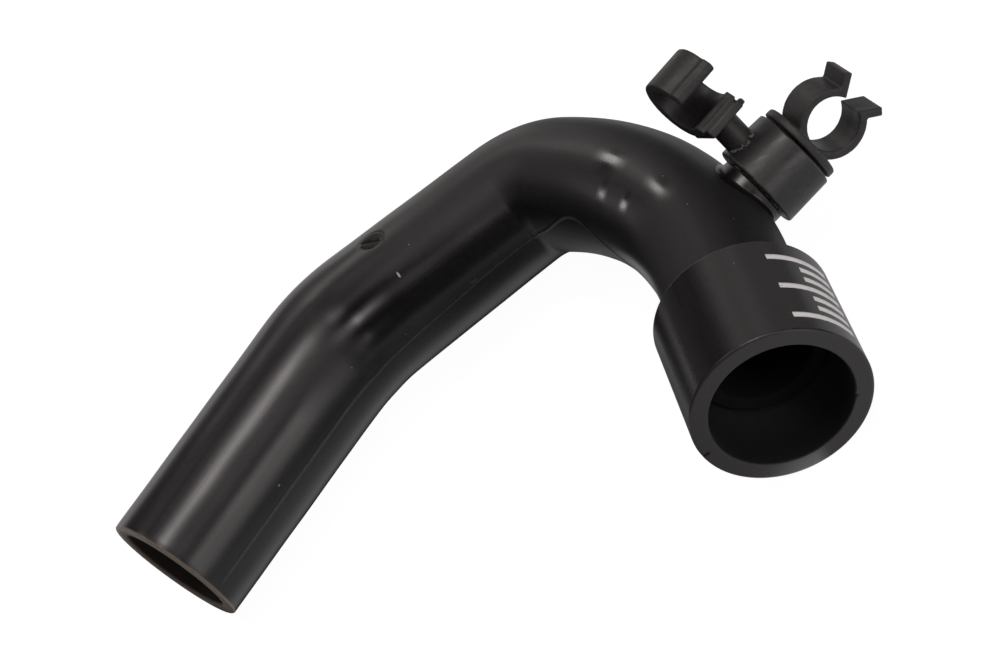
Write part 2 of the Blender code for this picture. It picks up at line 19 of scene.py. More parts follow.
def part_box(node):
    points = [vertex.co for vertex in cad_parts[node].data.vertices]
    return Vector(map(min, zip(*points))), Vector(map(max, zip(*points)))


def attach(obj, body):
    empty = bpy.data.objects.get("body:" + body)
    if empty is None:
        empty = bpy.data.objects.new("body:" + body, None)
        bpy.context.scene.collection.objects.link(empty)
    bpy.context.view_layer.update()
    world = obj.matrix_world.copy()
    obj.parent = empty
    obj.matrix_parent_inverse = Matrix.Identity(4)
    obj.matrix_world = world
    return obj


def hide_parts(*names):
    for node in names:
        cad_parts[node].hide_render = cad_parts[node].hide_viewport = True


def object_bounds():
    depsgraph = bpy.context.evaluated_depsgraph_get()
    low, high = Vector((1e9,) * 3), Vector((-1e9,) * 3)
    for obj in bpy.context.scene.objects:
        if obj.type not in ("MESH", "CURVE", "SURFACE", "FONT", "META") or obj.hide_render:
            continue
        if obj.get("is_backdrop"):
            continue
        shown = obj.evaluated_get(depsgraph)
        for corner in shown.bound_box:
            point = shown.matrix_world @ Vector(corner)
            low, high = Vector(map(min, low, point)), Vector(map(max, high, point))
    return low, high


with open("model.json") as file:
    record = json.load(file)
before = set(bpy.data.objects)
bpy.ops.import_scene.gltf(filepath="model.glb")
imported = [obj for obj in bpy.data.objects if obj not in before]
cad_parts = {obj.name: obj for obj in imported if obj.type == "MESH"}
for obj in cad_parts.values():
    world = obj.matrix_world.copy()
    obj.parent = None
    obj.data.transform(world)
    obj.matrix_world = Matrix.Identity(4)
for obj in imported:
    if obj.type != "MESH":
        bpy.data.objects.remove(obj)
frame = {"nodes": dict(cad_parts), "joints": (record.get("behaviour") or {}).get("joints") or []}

MM = 0.001
cad_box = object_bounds()


def in_mm(lengths):
    return tuple(round(v / MM, 2) for v in lengths)


print("CAD box", [in_mm(corner) for corner in cad_box])

# %% [markdown]
# ## Anchors
#
# Two places carry all the rest: the centre of the collar's top, where the neck goes in, and the swivel
# on the elbow. The first comes from the collar's own box and the second from the joint in the record.
# The swivel gets a small frame of its own: local Z along its axis, local X upright.

# %% Anchors
collar_low, collar_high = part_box("collar")
neck_top = Vector(((collar_low.x + collar_high.x) / 2, collar_high.y,
                   (collar_low.z + collar_high.z) / 2))
swivel = next(joint for joint in frame["joints"] if joint["name"] == "sleeve_swivel")
swivel_axis = Vector(swivel["axis"]).normalized()
upright = Vector((0.0, 0.0, 1.0))
swivel_frame = Matrix((upright, swivel_axis.cross(upright), swivel_axis)).transposed().to_4x4()
swivel_frame.translation = Vector(swivel["pos_m"])
print("neck top", in_mm(neck_top), "swivel", in_mm(swivel_frame.translation))

# %% [markdown]
# ## Camera
#
# The view is a long lens from the front and above, rolled a little, so that the hook lies slantwise in
# the picture. Three directions fix its turn: to the picture's right, up the picture, and back to the
# viewer. They are squared up first, because a camera matrix may not shear.

# %% Camera
VIEW_FROM = Vector((107.2, -504.4, 446.1)) * MM
LENS, SENSOR = 146.96, 36.0
to_viewer = Vector((0.208, -0.752, 0.626)).normalized()
to_right = Vector((0.808, -0.229, -0.544))
to_right = (to_right - to_right.dot(to_viewer) * to_viewer).normalized()
camera_data = bpy.data.cameras.new("studio_camera")
camera_data.lens = LENS
camera_data.sensor_width = SENSOR
camera_data.sensor_fit = "HORIZONTAL"
camera = bpy.data.objects.new("studio_camera", camera_data)
turn = Matrix((to_right, to_viewer.cross(to_right), to_viewer)).transposed().to_4x4()
camera.matrix_world = Matrix.Translation(neck_top + VIEW_FROM) @ turn
bpy.context.scene.collection.objects.link(camera)
bpy.context.scene.camera = camera
print("camera at", in_mm(camera.location), "mm, lens", LENS)

# %% [markdown]
# ## Node helpers
#
# Finishes, floor and Geometry Nodes trees are all built from nodes. A socket takes a plain value or a
# link from another socket, and feed does whichever is asked. The other helpers add a node with its
# settings, do sums, read an attribute, map a range, and blend two colours or two numbers.


# %% Node helpers
def feed(tree, socket, value):
    if isinstance(value, bpy.types.NodeSocket):
        tree.links.new(value, socket)
    else:
        socket.default_value = value


def add(tree, kind, values=None, **settings):
    """Adds a node; settings are its properties, values its input sockets by name or number."""
    made = tree.nodes.new(kind)
    for key, value in settings.items():
        setattr(made, key, value)
    for key, value in (values or {}).items():
        feed(tree, made.inputs[key], value)
    return made


def math_node(tree, operation, first, second=0.0, clamp=False):
    made = add(tree, "ShaderNodeMath", {0: first, 1: second}, operation=operation, use_clamp=clamp)
    return made.outputs[0]


def vector_node(tree, operation, first, second=(0.0, 0.0, 0.0)):
    """Sum of vectors; SCALE takes a number as its second input, and some sums give a number."""
    key = "Scale" if operation == "SCALE" else 1
    made = add(tree, "ShaderNodeVectorMath", {0: first, key: second}, operation=operation)
    return made.outputs["Value" if operation in ("DOT_PRODUCT", "LENGTH") else 0]


def attribute(tree, name, output="Fac"):
    return add(tree, "ShaderNodeAttribute", attribute_name=name).outputs[output]


def spread(tree, value, low, high, to_low=0.0, to_high=1.0):
    """Maps a value from one range to another and holds it there."""
    return add(tree, "ShaderNodeMapRange", {"Value": value, "From Min": low, "From Max": high,
                                            "To Min": to_low, "To Max": to_high}).outputs["Result"]


def blend_colour(tree, share, first, second):
    return add(tree, "ShaderNodeMix", {0: share, 6: first, 7: second}, data_type="RGBA").outputs[2]


def blend_number(tree, share, first, second):
    return add(tree, "ShaderNodeMix", {0: share, 2: first, 3: second}, data_type="FLOAT").outputs[0]


print("node helpers ready")

# %% [markdown]
# ## Studio light
#
# Each highlight on the tube is the picture of one light, and a soft polish blurs that picture. So most
# of the light is a world of soft round glows, each given as the object sees it: a compass direction
# with 0 along +X, a height above the horizon, a width, all in degrees, and a brightness. Only rays from
# the camera see plain white instead.

# %% Studio light
LIGHT_TINT, WORLD_BASE, WHITE = (1.0, 0.94, 0.93), 0.02, (1.0, 1.0, 1.0, 1.0)
GLOWS = (
    # direction, height, width, brightness
    (-12, 68, 7, 4.8), (-31, 76, 7, 3.0), (-34, 52, 7, 1.7), (-42, 44, 7, 1.2), (-46, 20, 8, 4.4),
    (-52, 4, 8, 3.4), (-78, 50, 6, 6.5), (-73, 18, 6, 1.6), (-143, 76, 8, 1.3), (162, 60, 7, 1.8),
    (136, 72, 9, 0.8), (126, 60, 7, 2.0), (60, 68, 7, 1.2), (94, 46, 8, 0.9), (94, 22, 9, 0.9),
    (70, 34, 8, 0.5), (116, 4, 7, 1.6), (98, 4, 8, 1.5), (84, 10, 6, 0.4), (150, 2, 8, 0.4),
)


def toward(compass, rise):
    compass, rise = math.radians(compass), math.radians(rise)
    flat = math.cos(rise)
    return Vector((flat * math.cos(compass), flat * math.sin(compass), math.sin(rise)))


world = bpy.data.worlds.new("studio")
world.use_nodes = True
tree = world.node_tree
looking = add(tree, "ShaderNodeTexCoord").outputs["Generated"]
light = WORLD_BASE
for compass, rise, width, bright in GLOWS:
    near = vector_node(tree, "DOT_PRODUCT", looking, toward(compass, rise))
    fall = math_node(tree, "DIVIDE", math_node(tree, "SUBTRACT", near, 1.0),
                     1.0 - math.cos(math.radians(width)))
    glow = math_node(tree, "MULTIPLY", math_node(tree, "EXPONENT", fall), bright)
    light = math_node(tree, "ADD", glow, light)
tint = vector_node(tree, "SCALE", LIGHT_TINT, light)
seen = add(tree, "ShaderNodeLightPath").outputs["Is Camera Ray"]
feed(tree, tree.nodes["Background"].inputs["Color"], blend_colour(tree, seen, tint, WHITE))
bpy.context.scene.world = world
bpy.context.scene.view_settings.view_transform = "Standard"
print(len(GLOWS), "glows")

# %% [markdown]
# ## Soft boxes
#
# Seven real soft boxes add the crisper highlights and the shadows. They all stand at one distance and
# look at the origin. As in a studio, screens keep a box from spoiling other pieces: with light linking,
# a box lights only the pieces in its collection, or all but those.

# %% Soft boxes
BOX_DISTANCE = 1.5
SOFT_BOXES = {
    # name: direction, height, side, brightness
    "top_box": (6.0, 76.0, 0.38, 7.5),
    "elbow_box": (100.0, 38.0, 0.23, 6.1),
    "inner_box": (143.0, 27.0, 0.27, 5.3),
    "collar_box": (64.0, 24.0, 1.3, 0.4),
    "collar_edge_box": (134.0, 0.0, 0.3, 1.3),
    "sleeve_top_box": (-52.0, 74.0, 0.3, 9.0),
    "sleeve_front_box": (-67.0, 16.0, 0.3, 5.5),
}
boxes = {}
for name, (compass, rise, side, bright) in SOFT_BOXES.items():
    lamp = bpy.data.lights.new(name, "AREA")
    lamp.size, lamp.color, lamp.energy = side, LIGHT_TINT, bright * math.pi * side ** 2
    box = boxes[name] = bpy.data.objects.new(name, lamp)
    way = toward(compass, rise)
    box.matrix_world = (Matrix.Translation(BOX_DISTANCE * way)
                        @ way.to_track_quat("Z", "Y").to_matrix().to_4x4())
    box.visible_camera = False
    bpy.context.scene.collection.objects.link(box)
    print(name, round(lamp.energy, 2), "W")


def screen(names, *items, state="INCLUDE"):
    """Lets some boxes light only some pieces, or with EXCLUDE all but these."""
    behind = bpy.data.collections.new("screen_" + names[0])
    for item in items:
        behind.objects.link(item)
    for entry in behind.collection_objects:
        entry.light_linking.link_state = state
    for name in names:
        boxes[name].light_linking.receiver_collection = behind
    print(*names, state, [item.name for item in items])


# %% [markdown]
# ## Shared effects
#
# All pieces come out of moulds, so they share four effects: the fine grain of the mould, streaks where
# the melt flowed, dust that settled, and edges rubbed pale. Each is a node group that is built once and
# placed in every material with its own values. The groups put out only masks and heights.

# %% Start a node group
VECTOR, NUMBER = "NodeSocketVector", "NodeSocketFloat"


def new_group(name, inputs, outputs):
    """Empty shader node group with named sockets; returns its tree, input node and output node."""
    group = bpy.data.node_groups.new(name, "ShaderNodeTree")
    for socket, (kind, value) in inputs.items():
        made = group.interface.new_socket(socket, in_out="INPUT", socket_type=kind)
        if value is not None:
            made.default_value = value
    for socket in outputs:
        group.interface.new_socket(socket, in_out="OUTPUT", socket_type=NUMBER)
    return group, add(group, "NodeGroupInput").outputs, add(group, "NodeGroupOutput").inputs


print("groups take", VECTOR, "and", NUMBER)

# %% [markdown]
# Grain is two sizes of noise: the coarse one shows as a faint mottle in the gloss, the fine one breaks
# up reflections. The size is given as grains per metre, because Object coordinates are in metres.

# %% Mould grain
FINER, MOTTLE_SPAN = 4.0, (0.35, 0.65)
grain_group, given, out = new_group(
    "mould_grain", {"Vector": (VECTOR, None), "Grains": (NUMBER, 3000.0), "Fineness": (NUMBER, 0.4)},
    ("Height", "Mottle"))
coarse = add(grain_group, "ShaderNodeTexNoise", {"Vector": given["Vector"], "Scale": given["Grains"],
                                                 "Detail": 3.0, "Roughness": 0.6}).outputs["Fac"]
finer = math_node(grain_group, "MULTIPLY", given["Grains"], FINER)
fine = add(grain_group, "ShaderNodeTexNoise", {"Vector": given["Vector"], "Scale": finer,
                                               "Detail": 2.0}).outputs["Fac"]
fine_part = math_node(grain_group, "MULTIPLY", fine, given["Fineness"])
feed(grain_group, out["Height"], math_node(grain_group, "ADD", coarse, fine_part))
feed(grain_group, out["Mottle"], spread(grain_group, coarse, *MOTTLE_SPAN))
print(grain_group.name, "has", len(grain_group.nodes), "nodes")

# %% [markdown]
# Streaks are noise that is stretched along one direction. The stretch is a Mapping node with its own
# scale on each axis, so a material chooses the flow direction of its piece.

# %% Flow streaks
STREAK_SPAN = 0.32, 0.68
streak_group, given, out = new_group(
    "flow_streaks", {"Vector": (VECTOR, None), "Stretch": (VECTOR, (1.0, 1.0, 1.0)),
                     "Warp": (NUMBER, 0.3)}, ("Streak",))
drawn = add(streak_group, "ShaderNodeMapping", {"Vector": given["Vector"], "Scale": given["Stretch"]})
noise = add(streak_group, "ShaderNodeTexNoise", {
    "Vector": drawn.outputs[0], "Scale": 1.0, "Detail": 4.0, "Roughness": 0.55,
    "Distortion": given["Warp"]}).outputs["Fac"]
feed(streak_group, out["Streak"], spread(streak_group, noise, *STREAK_SPAN))
print(streak_group.name, "has", len(streak_group.nodes), "nodes")

# %% [markdown]
# Dust is a Voronoi texture: every cell may hold one speck near its middle. The cell's random colour
# decides whether it does and how large the speck is.

# %% Settled dust
SPECK_EDGE = 0.02
dust_group, given, out = new_group(
    "settled_dust", {"Vector": (VECTOR, None), "Cells": (NUMBER, 400.0), "Share": (NUMBER, 0.2),
                     "Size": (NUMBER, 0.12)}, ("Mask",))
cells = add(dust_group, "ShaderNodeTexVoronoi", {"Vector": given["Vector"], "Scale": given["Cells"]})
parts = add(dust_group, "ShaderNodeSeparateColor", {"Color": cells.outputs["Color"]}).outputs
chosen = math_node(dust_group, "LESS_THAN", parts["Red"], given["Share"])
reach = math_node(dust_group, "MULTIPLY", parts["Green"], given["Size"])
within = math_node(dust_group, "SUBTRACT", reach, cells.outputs["Distance"])
speck = spread(dust_group, within, 0.0, SPECK_EDGE)
feed(dust_group, out["Mask"], math_node(dust_group, "MULTIPLY", chosen, speck))
print(dust_group.name, "has", len(dust_group.nodes), "nodes")

# %% [markdown]
# Rubbed edges need to know where the edges are. Each finished mesh carries a number called edge at its
# points, measured from how sharply the surface turns outwards there. Noise breaks the rub up.

# %% Edge rub
RUB_SPAN, LEAST_RUB = (0.3, 0.65), 0.25
rub_group, given, out = new_group(
    "edge_rub", {"Vector": (VECTOR, None), "Edge": (NUMBER, 0.0), "Patches": (NUMBER, 900.0),
                 "Amount": (NUMBER, 0.5)}, ("Mask",))
patch = add(rub_group, "ShaderNodeTexNoise", {"Vector": given["Vector"], "Scale": given["Patches"],
                                              "Detail": 3.0}).outputs["Fac"]
patchy = spread(rub_group, patch, *RUB_SPAN, LEAST_RUB, 1.0)
broken = math_node(rub_group, "MULTIPLY", given["Edge"], patchy)
feed(rub_group, out["Mask"], math_node(rub_group, "MULTIPLY", broken, given["Amount"], clamp=True))
print(rub_group.name, "has", len(rub_group.nodes), "nodes")

# %% [markdown]
# ## Moulded finishes
#
# One builder places the four groups in a material around a Principled shader. What differs between the
# pieces is a short list of values: the two tones of the mottle, the tone of rubbed edges, how rough the
# surface is where it is smooth and where it is dull, how many grains a metre has, how deep grain and
# streaks go in millimetres, the streaks' stretch, and the shares of dust and rub.

# %% Build a moulded finish
DUST_TONE, WEAR_ROUGHNESS = (0.16, 0.15, 0.14, 1.0), 0.2


def placed(tree, group, **values):
    """Puts a shader group in a material with its own values."""
    return add(tree, "ShaderNodeGroup", values, node_tree=group).outputs


def moulded_finish(name, deep, light, rubbed, smooth, dull, grains, grain_depth, stretch, streak_depth,
                   dust, rub, where=None):
    """Material with grain, flow streaks, dust and rubbed edges; where names a point attribute."""
    material = bpy.data.materials.new(name)
    material.use_nodes = True
    tree = material.node_tree
    shader = tree.nodes["Principled BSDF"]
    place = (attribute(tree, where, "Vector") if where
             else add(tree, "ShaderNodeTexCoord").outputs["Object"])
    grain = placed(tree, grain_group, Vector=place, Grains=grains)
    streak = placed(tree, streak_group, Vector=place, Stretch=stretch)["Streak"]
    dusty = placed(tree, dust_group, Vector=place, Share=dust)["Mask"]
    rubbing = placed(tree, rub_group, Vector=place, Edge=attribute(tree, "edge"), Amount=rub)["Mask"]

    tone = blend_colour(tree, grain["Mottle"], (*deep, 1.0), (*light, 1.0))
    tone = blend_colour(tree, rubbing, tone, (*rubbed, 1.0))
    tone = blend_colour(tree, dusty, tone, DUST_TONE)
    feed(tree, shader.inputs["Base Color"], tone)
    worn = math_node(tree, "MULTIPLY", math_node(tree, "ADD", rubbing, dusty), WEAR_ROUGHNESS)
    rough = math_node(tree, "ADD", spread(tree, streak, 0.0, 1.0, smooth, dull), worn, clamp=True)
    feed(tree, shader.inputs["Roughness"], rough)
    flow = add(tree, "ShaderNodeBump", {"Height": streak, "Distance": streak_depth * MM,
                                        "Strength": 1.0})
    bump = add(tree, "ShaderNodeBump", {"Height": grain["Height"], "Distance": grain_depth * MM,
                                        "Strength": 1.0, "Normal": flow.outputs["Normal"]})
    feed(tree, shader.inputs["Normal"], bump.outputs["Normal"])
    return material, tone, rough, place


print("finish builder ready")

# %% [markdown]
# The tube is black with a soft polish, and its flow lines run along its length. They follow the bends,
# so the tube's mesh carries its straightened position as an attribute named straight: x to the inside
# of the bends, y up, z along the run. The bore is painted near black as shade deep inside and turns brown
# toward the open lower end, whose cut lip is painted pale as a highlight. One bit of lint sticks to the
# middle section.

# %% Tube finish
# Painted shade: the bore is near black deep inside and brown toward the open lower end.
BORE_SHADE_BLACK, BORE_BROWN = (0.0015, 0.001, 0.001, 1.0), (0.014, 0.0084, 0.0066, 1.0)
# The lip tone is a painted highlight on the cut face; the lint tone is real lint.
LIP_HIGHLIGHT_TONE, LINT_TONE = (0.19, 0.152, 0.122, 1.0), (0.55, 0.53, 0.5, 1.0)
BORE_SHADE_FADE, LIP_FACE = (130.0, 170.0), (173.75, 174.15)      # stretches of the run in mm
LINT_PLACE, LINT_SQUEEZE, LINT_EDGE = (105.5, 51.0, 12.8), 3.2, (0.45, 0.75)
tube_gloss, tube_tone, tube_rough, straight_place = moulded_finish(
    "tube_gloss", (0.0048, 0.0045, 0.0045), (0.0078, 0.0073, 0.0072), (0.066, 0.055, 0.046), 0.22, 0.32,
    900.0, 0.004, (260.0, 260.0, 14.0), 0.006, 0.07, 0.8, where="straight")
tree = tube_gloss.node_tree
shader = tree.nodes["Principled BSDF"]
in_bore = attribute(tree, "inside")
across_here, _, run_here = add(tree, "ShaderNodeSeparateXYZ", {0: straight_place}).outputs


def spread_mm(value, span, to_low=0.0, to_high=1.0):
    """Maps a span of millimetres in the tube's material."""
    return spread(tube_gloss.node_tree, value, span[0] * MM, span[1] * MM, to_low, to_high)


def far_from(run, angle, radius, squeeze=1.0):
    """Distance from a spot on the straightened tube, with the run squeezed by a factor."""
    tree, angle = tube_gloss.node_tree, math.radians(angle)
    spot = radius * MM * math.cos(angle), radius * MM * math.sin(angle), run * MM
    offset = vector_node(tree, "SUBTRACT", straight_place, spot)
    return vector_node(tree, "LENGTH", vector_node(tree, "MULTIPLY", offset, (1.0, 1.0, squeeze)))


# Painted shade deep in the bore fades to brown near the lower opening, and the lip gets a painted
# highlight.
bore_shade_tone = blend_colour(tree, spread_mm(run_here, BORE_SHADE_FADE), BORE_SHADE_BLACK, BORE_BROWN)
tone = blend_colour(tree, in_bore, tube_tone, bore_shade_tone)
tone = blend_colour(tree, spread_mm(run_here, LIP_FACE), tone, LIP_HIGHLIGHT_TONE)
lint = spread_mm(far_from(*LINT_PLACE, LINT_SQUEEZE), LINT_EDGE, 1.0, 0.0)
feed(tree, shader.inputs["Base Color"], blend_colour(tree, lint, tone, LINT_TONE))
print(tube_gloss.name, "has", len(tree.nodes), "nodes")

# %% [markdown]
# The polish isn't even. The neck is the dullest part, the elbow less so, and away from the inside of the
# bends the dull zone reaches further down. A few spots are rubbed to a shine, and one at the mild bend is
# duller. The disc of the gate mark hardly shines at all. All places here are in millimetres and degrees.

# %% Tube polish
DULL_START, DULL_END = (6.0, 14.0), (62.0, 84.0)
INNER_SIDE, OUTER_DELAY = (7.4, 9.6), 28.0 * MM
NECK_TO_ELBOW, NECK_DULL, ELBOW_DULL, BORE_DULL = (30.0, 38.0), 0.34, 0.17, 0.6
SPOT_RADIUS, SPOT_EDGE = 12.0, (0.4, 1.7)
WORN_SPOTS = (
    # run, angle, size, squeeze along the run, roughness
    (51.5, 90.0, 2.3, 0.8, 0.16), (37.0, 93.5, 2.0, 0.7, 0.16), (49.4, 59.5, 1.9, 1.7, 0.16),
    (42.0, 62.0, 1.7, 1.5, 0.16), (116.0, 47.0, 4.2, 0.7, 0.16), (129.5, 33.0, 3.6, 0.5, 0.42),
    (29.0, 9.0, 3.9, 0.35, 0.2),
)
GATE_RUN, GATE_ANGLE, GATE_RADIUS = 106.6, 96.0, 2.5
GATE_SKIN, GATE_EDGE, GATE_SHINE, FULL_SHINE = 12.7, (1.9, 2.4), 0.12, 0.5
later = math_node(tree, "SUBTRACT", run_here, spread_mm(across_here, INNER_SIDE, OUTER_DELAY, 0.0))
dull_zone = math_node(tree, "MULTIPLY", spread_mm(run_here, DULL_START),
                      spread_mm(later, DULL_END, 1.0, 0.0))
dulling = spread_mm(run_here, NECK_TO_ELBOW, NECK_DULL, ELBOW_DULL)
rough = math_node(tree, "ADD", tube_rough, math_node(tree, "MULTIPLY", dull_zone, dulling))
rough = math_node(tree, "ADD", rough, math_node(tree, "MULTIPLY", in_bore, BORE_DULL))
for run, angle, size, squeeze, worn_to in WORN_SPOTS:
    edge = [size * share for share in SPOT_EDGE]
    worn = spread_mm(far_from(run, angle, SPOT_RADIUS, squeeze), edge, 1.0, 0.0)
    rough = blend_number(tree, worn, rough, worn_to)
feed(tree, shader.inputs["Roughness"], rough)
shine = spread_mm(far_from(GATE_RUN, GATE_ANGLE, GATE_SKIN), GATE_EDGE, GATE_SHINE, FULL_SHINE)
feed(tree, shader.inputs["Specular IOR Level"], shine)
print(len(WORN_SPOTS), "worn spots,", len(tree.nodes), "nodes")

# %% [markdown]
# The collar is rubber with a satin face, a mouth rim painted paler as painted light, and a dull bore
# painted dark as shade, which its mesh names with two more attributes, rim and inside.

# %% Collar finish
# Painted light: the rim is paler. Painted shade: the socket is near black.
RIM_LIGHT_TONE, RIM_SHARE = (0.038, 0.0345, 0.034, 1.0), 0.8
SOCKET_SHADE_TONE, SOCKET_DULL = (0.0016, 0.0011, 0.0011, 1.0), 0.5
collar_rubber, collar_tone, collar_rough, _ = moulded_finish(
    "collar_rubber", (0.0065, 0.006, 0.0059), (0.0095, 0.0088, 0.0086), (0.06, 0.057, 0.056), 0.26, 0.32,
    1400.0, 0.008, (500.0, 30.0, 500.0), 0.004, 0.12, 0.7)
tree = collar_rubber.node_tree
shader = tree.nodes["Principled BSDF"]
in_bore = attribute(tree, "inside")
on_rim = math_node(tree, "MULTIPLY", attribute(tree, "rim"), RIM_SHARE)
tone = blend_colour(tree, on_rim, collar_tone, RIM_LIGHT_TONE)
feed(tree, shader.inputs["Base Color"], blend_colour(tree, in_bore, tone, SOCKET_SHADE_TONE))
dulling = math_node(tree, "MULTIPLY", in_bore, SOCKET_DULL)
feed(tree, shader.inputs["Roughness"], math_node(tree, "ADD", collar_rough, dulling))
print(collar_rubber.name, "has", len(tree.nodes), "nodes")

# %% [markdown]
# Sleeve and clips are a cheaper grey plastic with a fine mould texture. Seal, snap ring and washers hide
# inside, and get the same care with simpler values. The last one is the ink of the collar's marks.

# %% Other finishes
PLAIN_FINISHES = {
    # name: two tones, rubbed tone, smooth, dull, grains, their depth, stretch, streak depth, dust, rub
    "sleeve_plastic": ((0.014, 0.0132, 0.0132), (0.025, 0.0236, 0.0236), (0.09, 0.086, 0.085), 0.3, 0.44,
                       1800.0, 0.012, (90.0, 900.0, 900.0), 0.012, 0.15, 0.6),
    "clip_plastic": ((0.022, 0.021, 0.021), (0.036, 0.034, 0.033), (0.095, 0.09, 0.088), 0.42, 0.56,
                     1900.0, 0.014, (300.0, 300.0, 300.0), 0.008, 0.2, 0.6),
    "seal_rubber": ((0.012, 0.012, 0.012), (0.02, 0.02, 0.02), (0.05, 0.05, 0.05), 0.55, 0.7,
                    2500.0, 0.01, (200.0, 900.0, 200.0), 0.004, 0.1, 0.5),
    "ring_plastic": ((0.5, 0.5, 0.47), (0.58, 0.58, 0.55), (0.66, 0.66, 0.63), 0.4, 0.52,
                     2200.0, 0.008, (300.0, 900.0, 300.0), 0.004, 0.05, 0.5),
    "washer_plastic": ((0.55, 0.55, 0.53), (0.63, 0.63, 0.61), (0.7, 0.7, 0.68), 0.45, 0.58,
                       2600.0, 0.008, (900.0, 300.0, 300.0), 0.004, 0.05, 0.5),
    "mark_ink": ((0.82, 0.82, 0.82), (0.9, 0.9, 0.9), (0.7, 0.7, 0.7), 0.42, 0.6,
                 1500.0, 0.006, (300.0, 60.0, 300.0), 0.003, 0.08, 0.5),
}
sleeve_plastic, clip_plastic, seal_rubber, ring_plastic, washer_plastic, mark_ink = (
    moulded_finish(name, *values)[0] for name, values in PLAIN_FINISHES.items())
print("finishes", list(PLAIN_FINISHES))

# %% [markdown]
# ## Mesh helpers
#
# Most pieces are turned or are grids of rows and columns. They could be modelled by hand, but a grid is
# quickly computed as an array of points and joined by quads, and its sizes stay easy to change.

# %% Mesh helpers
WELD = 0.001 * MM


def new_piece(name, points, faces, material):
    """Object at the origin with a welded, outward-facing, smooth mesh."""
    mesh = bpy.data.meshes.new(name)
    mesh.from_pydata([tuple(p) for p in points], [], [tuple(f) for f in faces])
    work = bmesh.new()
    work.from_mesh(mesh)
    bmesh.ops.remove_doubles(work, verts=work.verts, dist=WELD)
    bmesh.ops.recalc_face_normals(work, faces=work.faces)
    work.to_mesh(mesh)
    work.free()
    mesh.shade_smooth()
    mesh.materials.append(material)
    item = bpy.data.objects.new(name, mesh)
    bpy.context.scene.collection.objects.link(item)
    return item


def grid_faces(rows, columns, closed_rows):
    """Quads of a grid whose columns close on themselves; its rows close too if asked."""
    faces = []
    for i in range(rows if closed_rows else rows - 1):
        low, high = i * columns, (i + 1) % rows * columns
        for j in range(columns):
            k = (j + 1) % columns
            faces.append((low + j, low + k, high + k, high + j))
    return faces


def round_angles(count):
    return [2 * math.pi * i / count for i in range(count)]


def metres(rows):
    """Rows of millimetres as rows of metres."""
    return [tuple(v * MM for v in row) for row in rows]


print("a closed grid of 3 rows and 4 columns has", len(grid_faces(3, 4, closed_rows=True)), "quads")

# %% [markdown]
# A turned profile is a loop of corners. Rounding each corner with a short arc gives the moulded edge, and
# two holding points beside each arc keep the shading of the flat parts clean.


# %% Rounded corners
def rounded(corners, steps=5, hold=0.05 * MM):
    """Loop of (x, y, rounding) corners as points, with arcs and holding points at the corners."""
    points = []
    for i, (x, y, radius) in enumerate(corners):
        here = Vector((x, y))
        if radius <= 0.0:
            points.append(here)
            continue
        before = (Vector(corners[i - 1][:2]) - here).normalized()
        after = (Vector(corners[(i + 1) % len(corners)][:2]) - here).normalized()
        half = before.angle(after) / 2
        reach = radius / math.tan(half)
        middle = here + (before + after).normalized() * radius / math.sin(half)
        first, last = here + before * reach - middle, here + after * reach - middle
        points.append(here + before * (reach + hold))
        for k in range(steps + 1):
            points.append(middle + radius * first.slerp(last, k / steps).normalized())
        points.append(here + after * (reach + hold))
    return [(p.x, p.y) for p in points]


square = rounded([(0, 0, 1), (9, 0, 1), (9, 9, 1), (0, 9, 1)])
print("a square with round corners has", len(square), "points")

# %% [markdown]
# Finishes read numbers that a mesh carries at its points, so two helpers read positions and store such
# numbers. The edge attribute is measured on the finished mesh. At each point, the way to every neighbour
# is compared with the surface normal: where the neighbours lie below it the surface bulges, and dividing
# by the distance gives the bulge as one over its radius. Flat or wide round faces get no edge.

# %% Point attributes
LEAST_SQUARE = 1e-12


def points_of(mesh, what="co"):
    """Positions, or with normal the normals, of all points as rows."""
    values = np.empty(len(mesh.vertices) * 3)
    mesh.vertices.foreach_get(what, values)
    return values.reshape(-1, 3)


def store(mesh, name, values):
    """Keeps a number or a vector at every point."""
    kind, field = ("FLOAT", "value") if values.ndim == 1 else ("FLOAT_VECTOR", "vector")
    mesh.attributes.new(name, kind, "POINT").data.foreach_set(field, values.ravel())


def held(values):
    return np.clip(values, 0.0, 1.0)


def mark_edges(item, wide=3.0 * MM, tight=0.6 * MM):
    """Stores edge from 0, bulging wider than wide, to 1, at an edge as tight as given."""
    mesh = item.data
    place, normal = points_of(mesh), points_of(mesh, "normal")
    ends = np.empty(len(mesh.edges) * 2, dtype=np.int64)
    mesh.edges.foreach_get("vertices", ends)
    ends = ends.reshape(-1, 2)
    bulge, shares = np.zeros(len(place)), np.zeros(len(place))
    for a, b in ((0, 1), (1, 0)):
        step = place[ends[:, b]] - place[ends[:, a]]
        length_squared = np.maximum((step ** 2).sum(1), LEAST_SQUARE)
        fall = -(step * normal[ends[:, a]]).sum(1) * 2 / length_squared
        np.add.at(bulge, ends[:, a], fall)
        np.add.at(shares, ends[:, a], 1.0)
    bulge /= np.maximum(shares, 1.0)
    store(mesh, "edge", held((bulge - 1 / wide) / (1 / tight - 1 / wide)))


print("edges are marked on every finished piece")

# %% [markdown]
# ## The tube's path
#
# The centreline is six legs in one level plane: neck, wide sweep, tight knee, middle, mild bend and
# lower end. Walking along it in short steps with a steady turn gives a fine poly curve, which later
# guides the mesh.

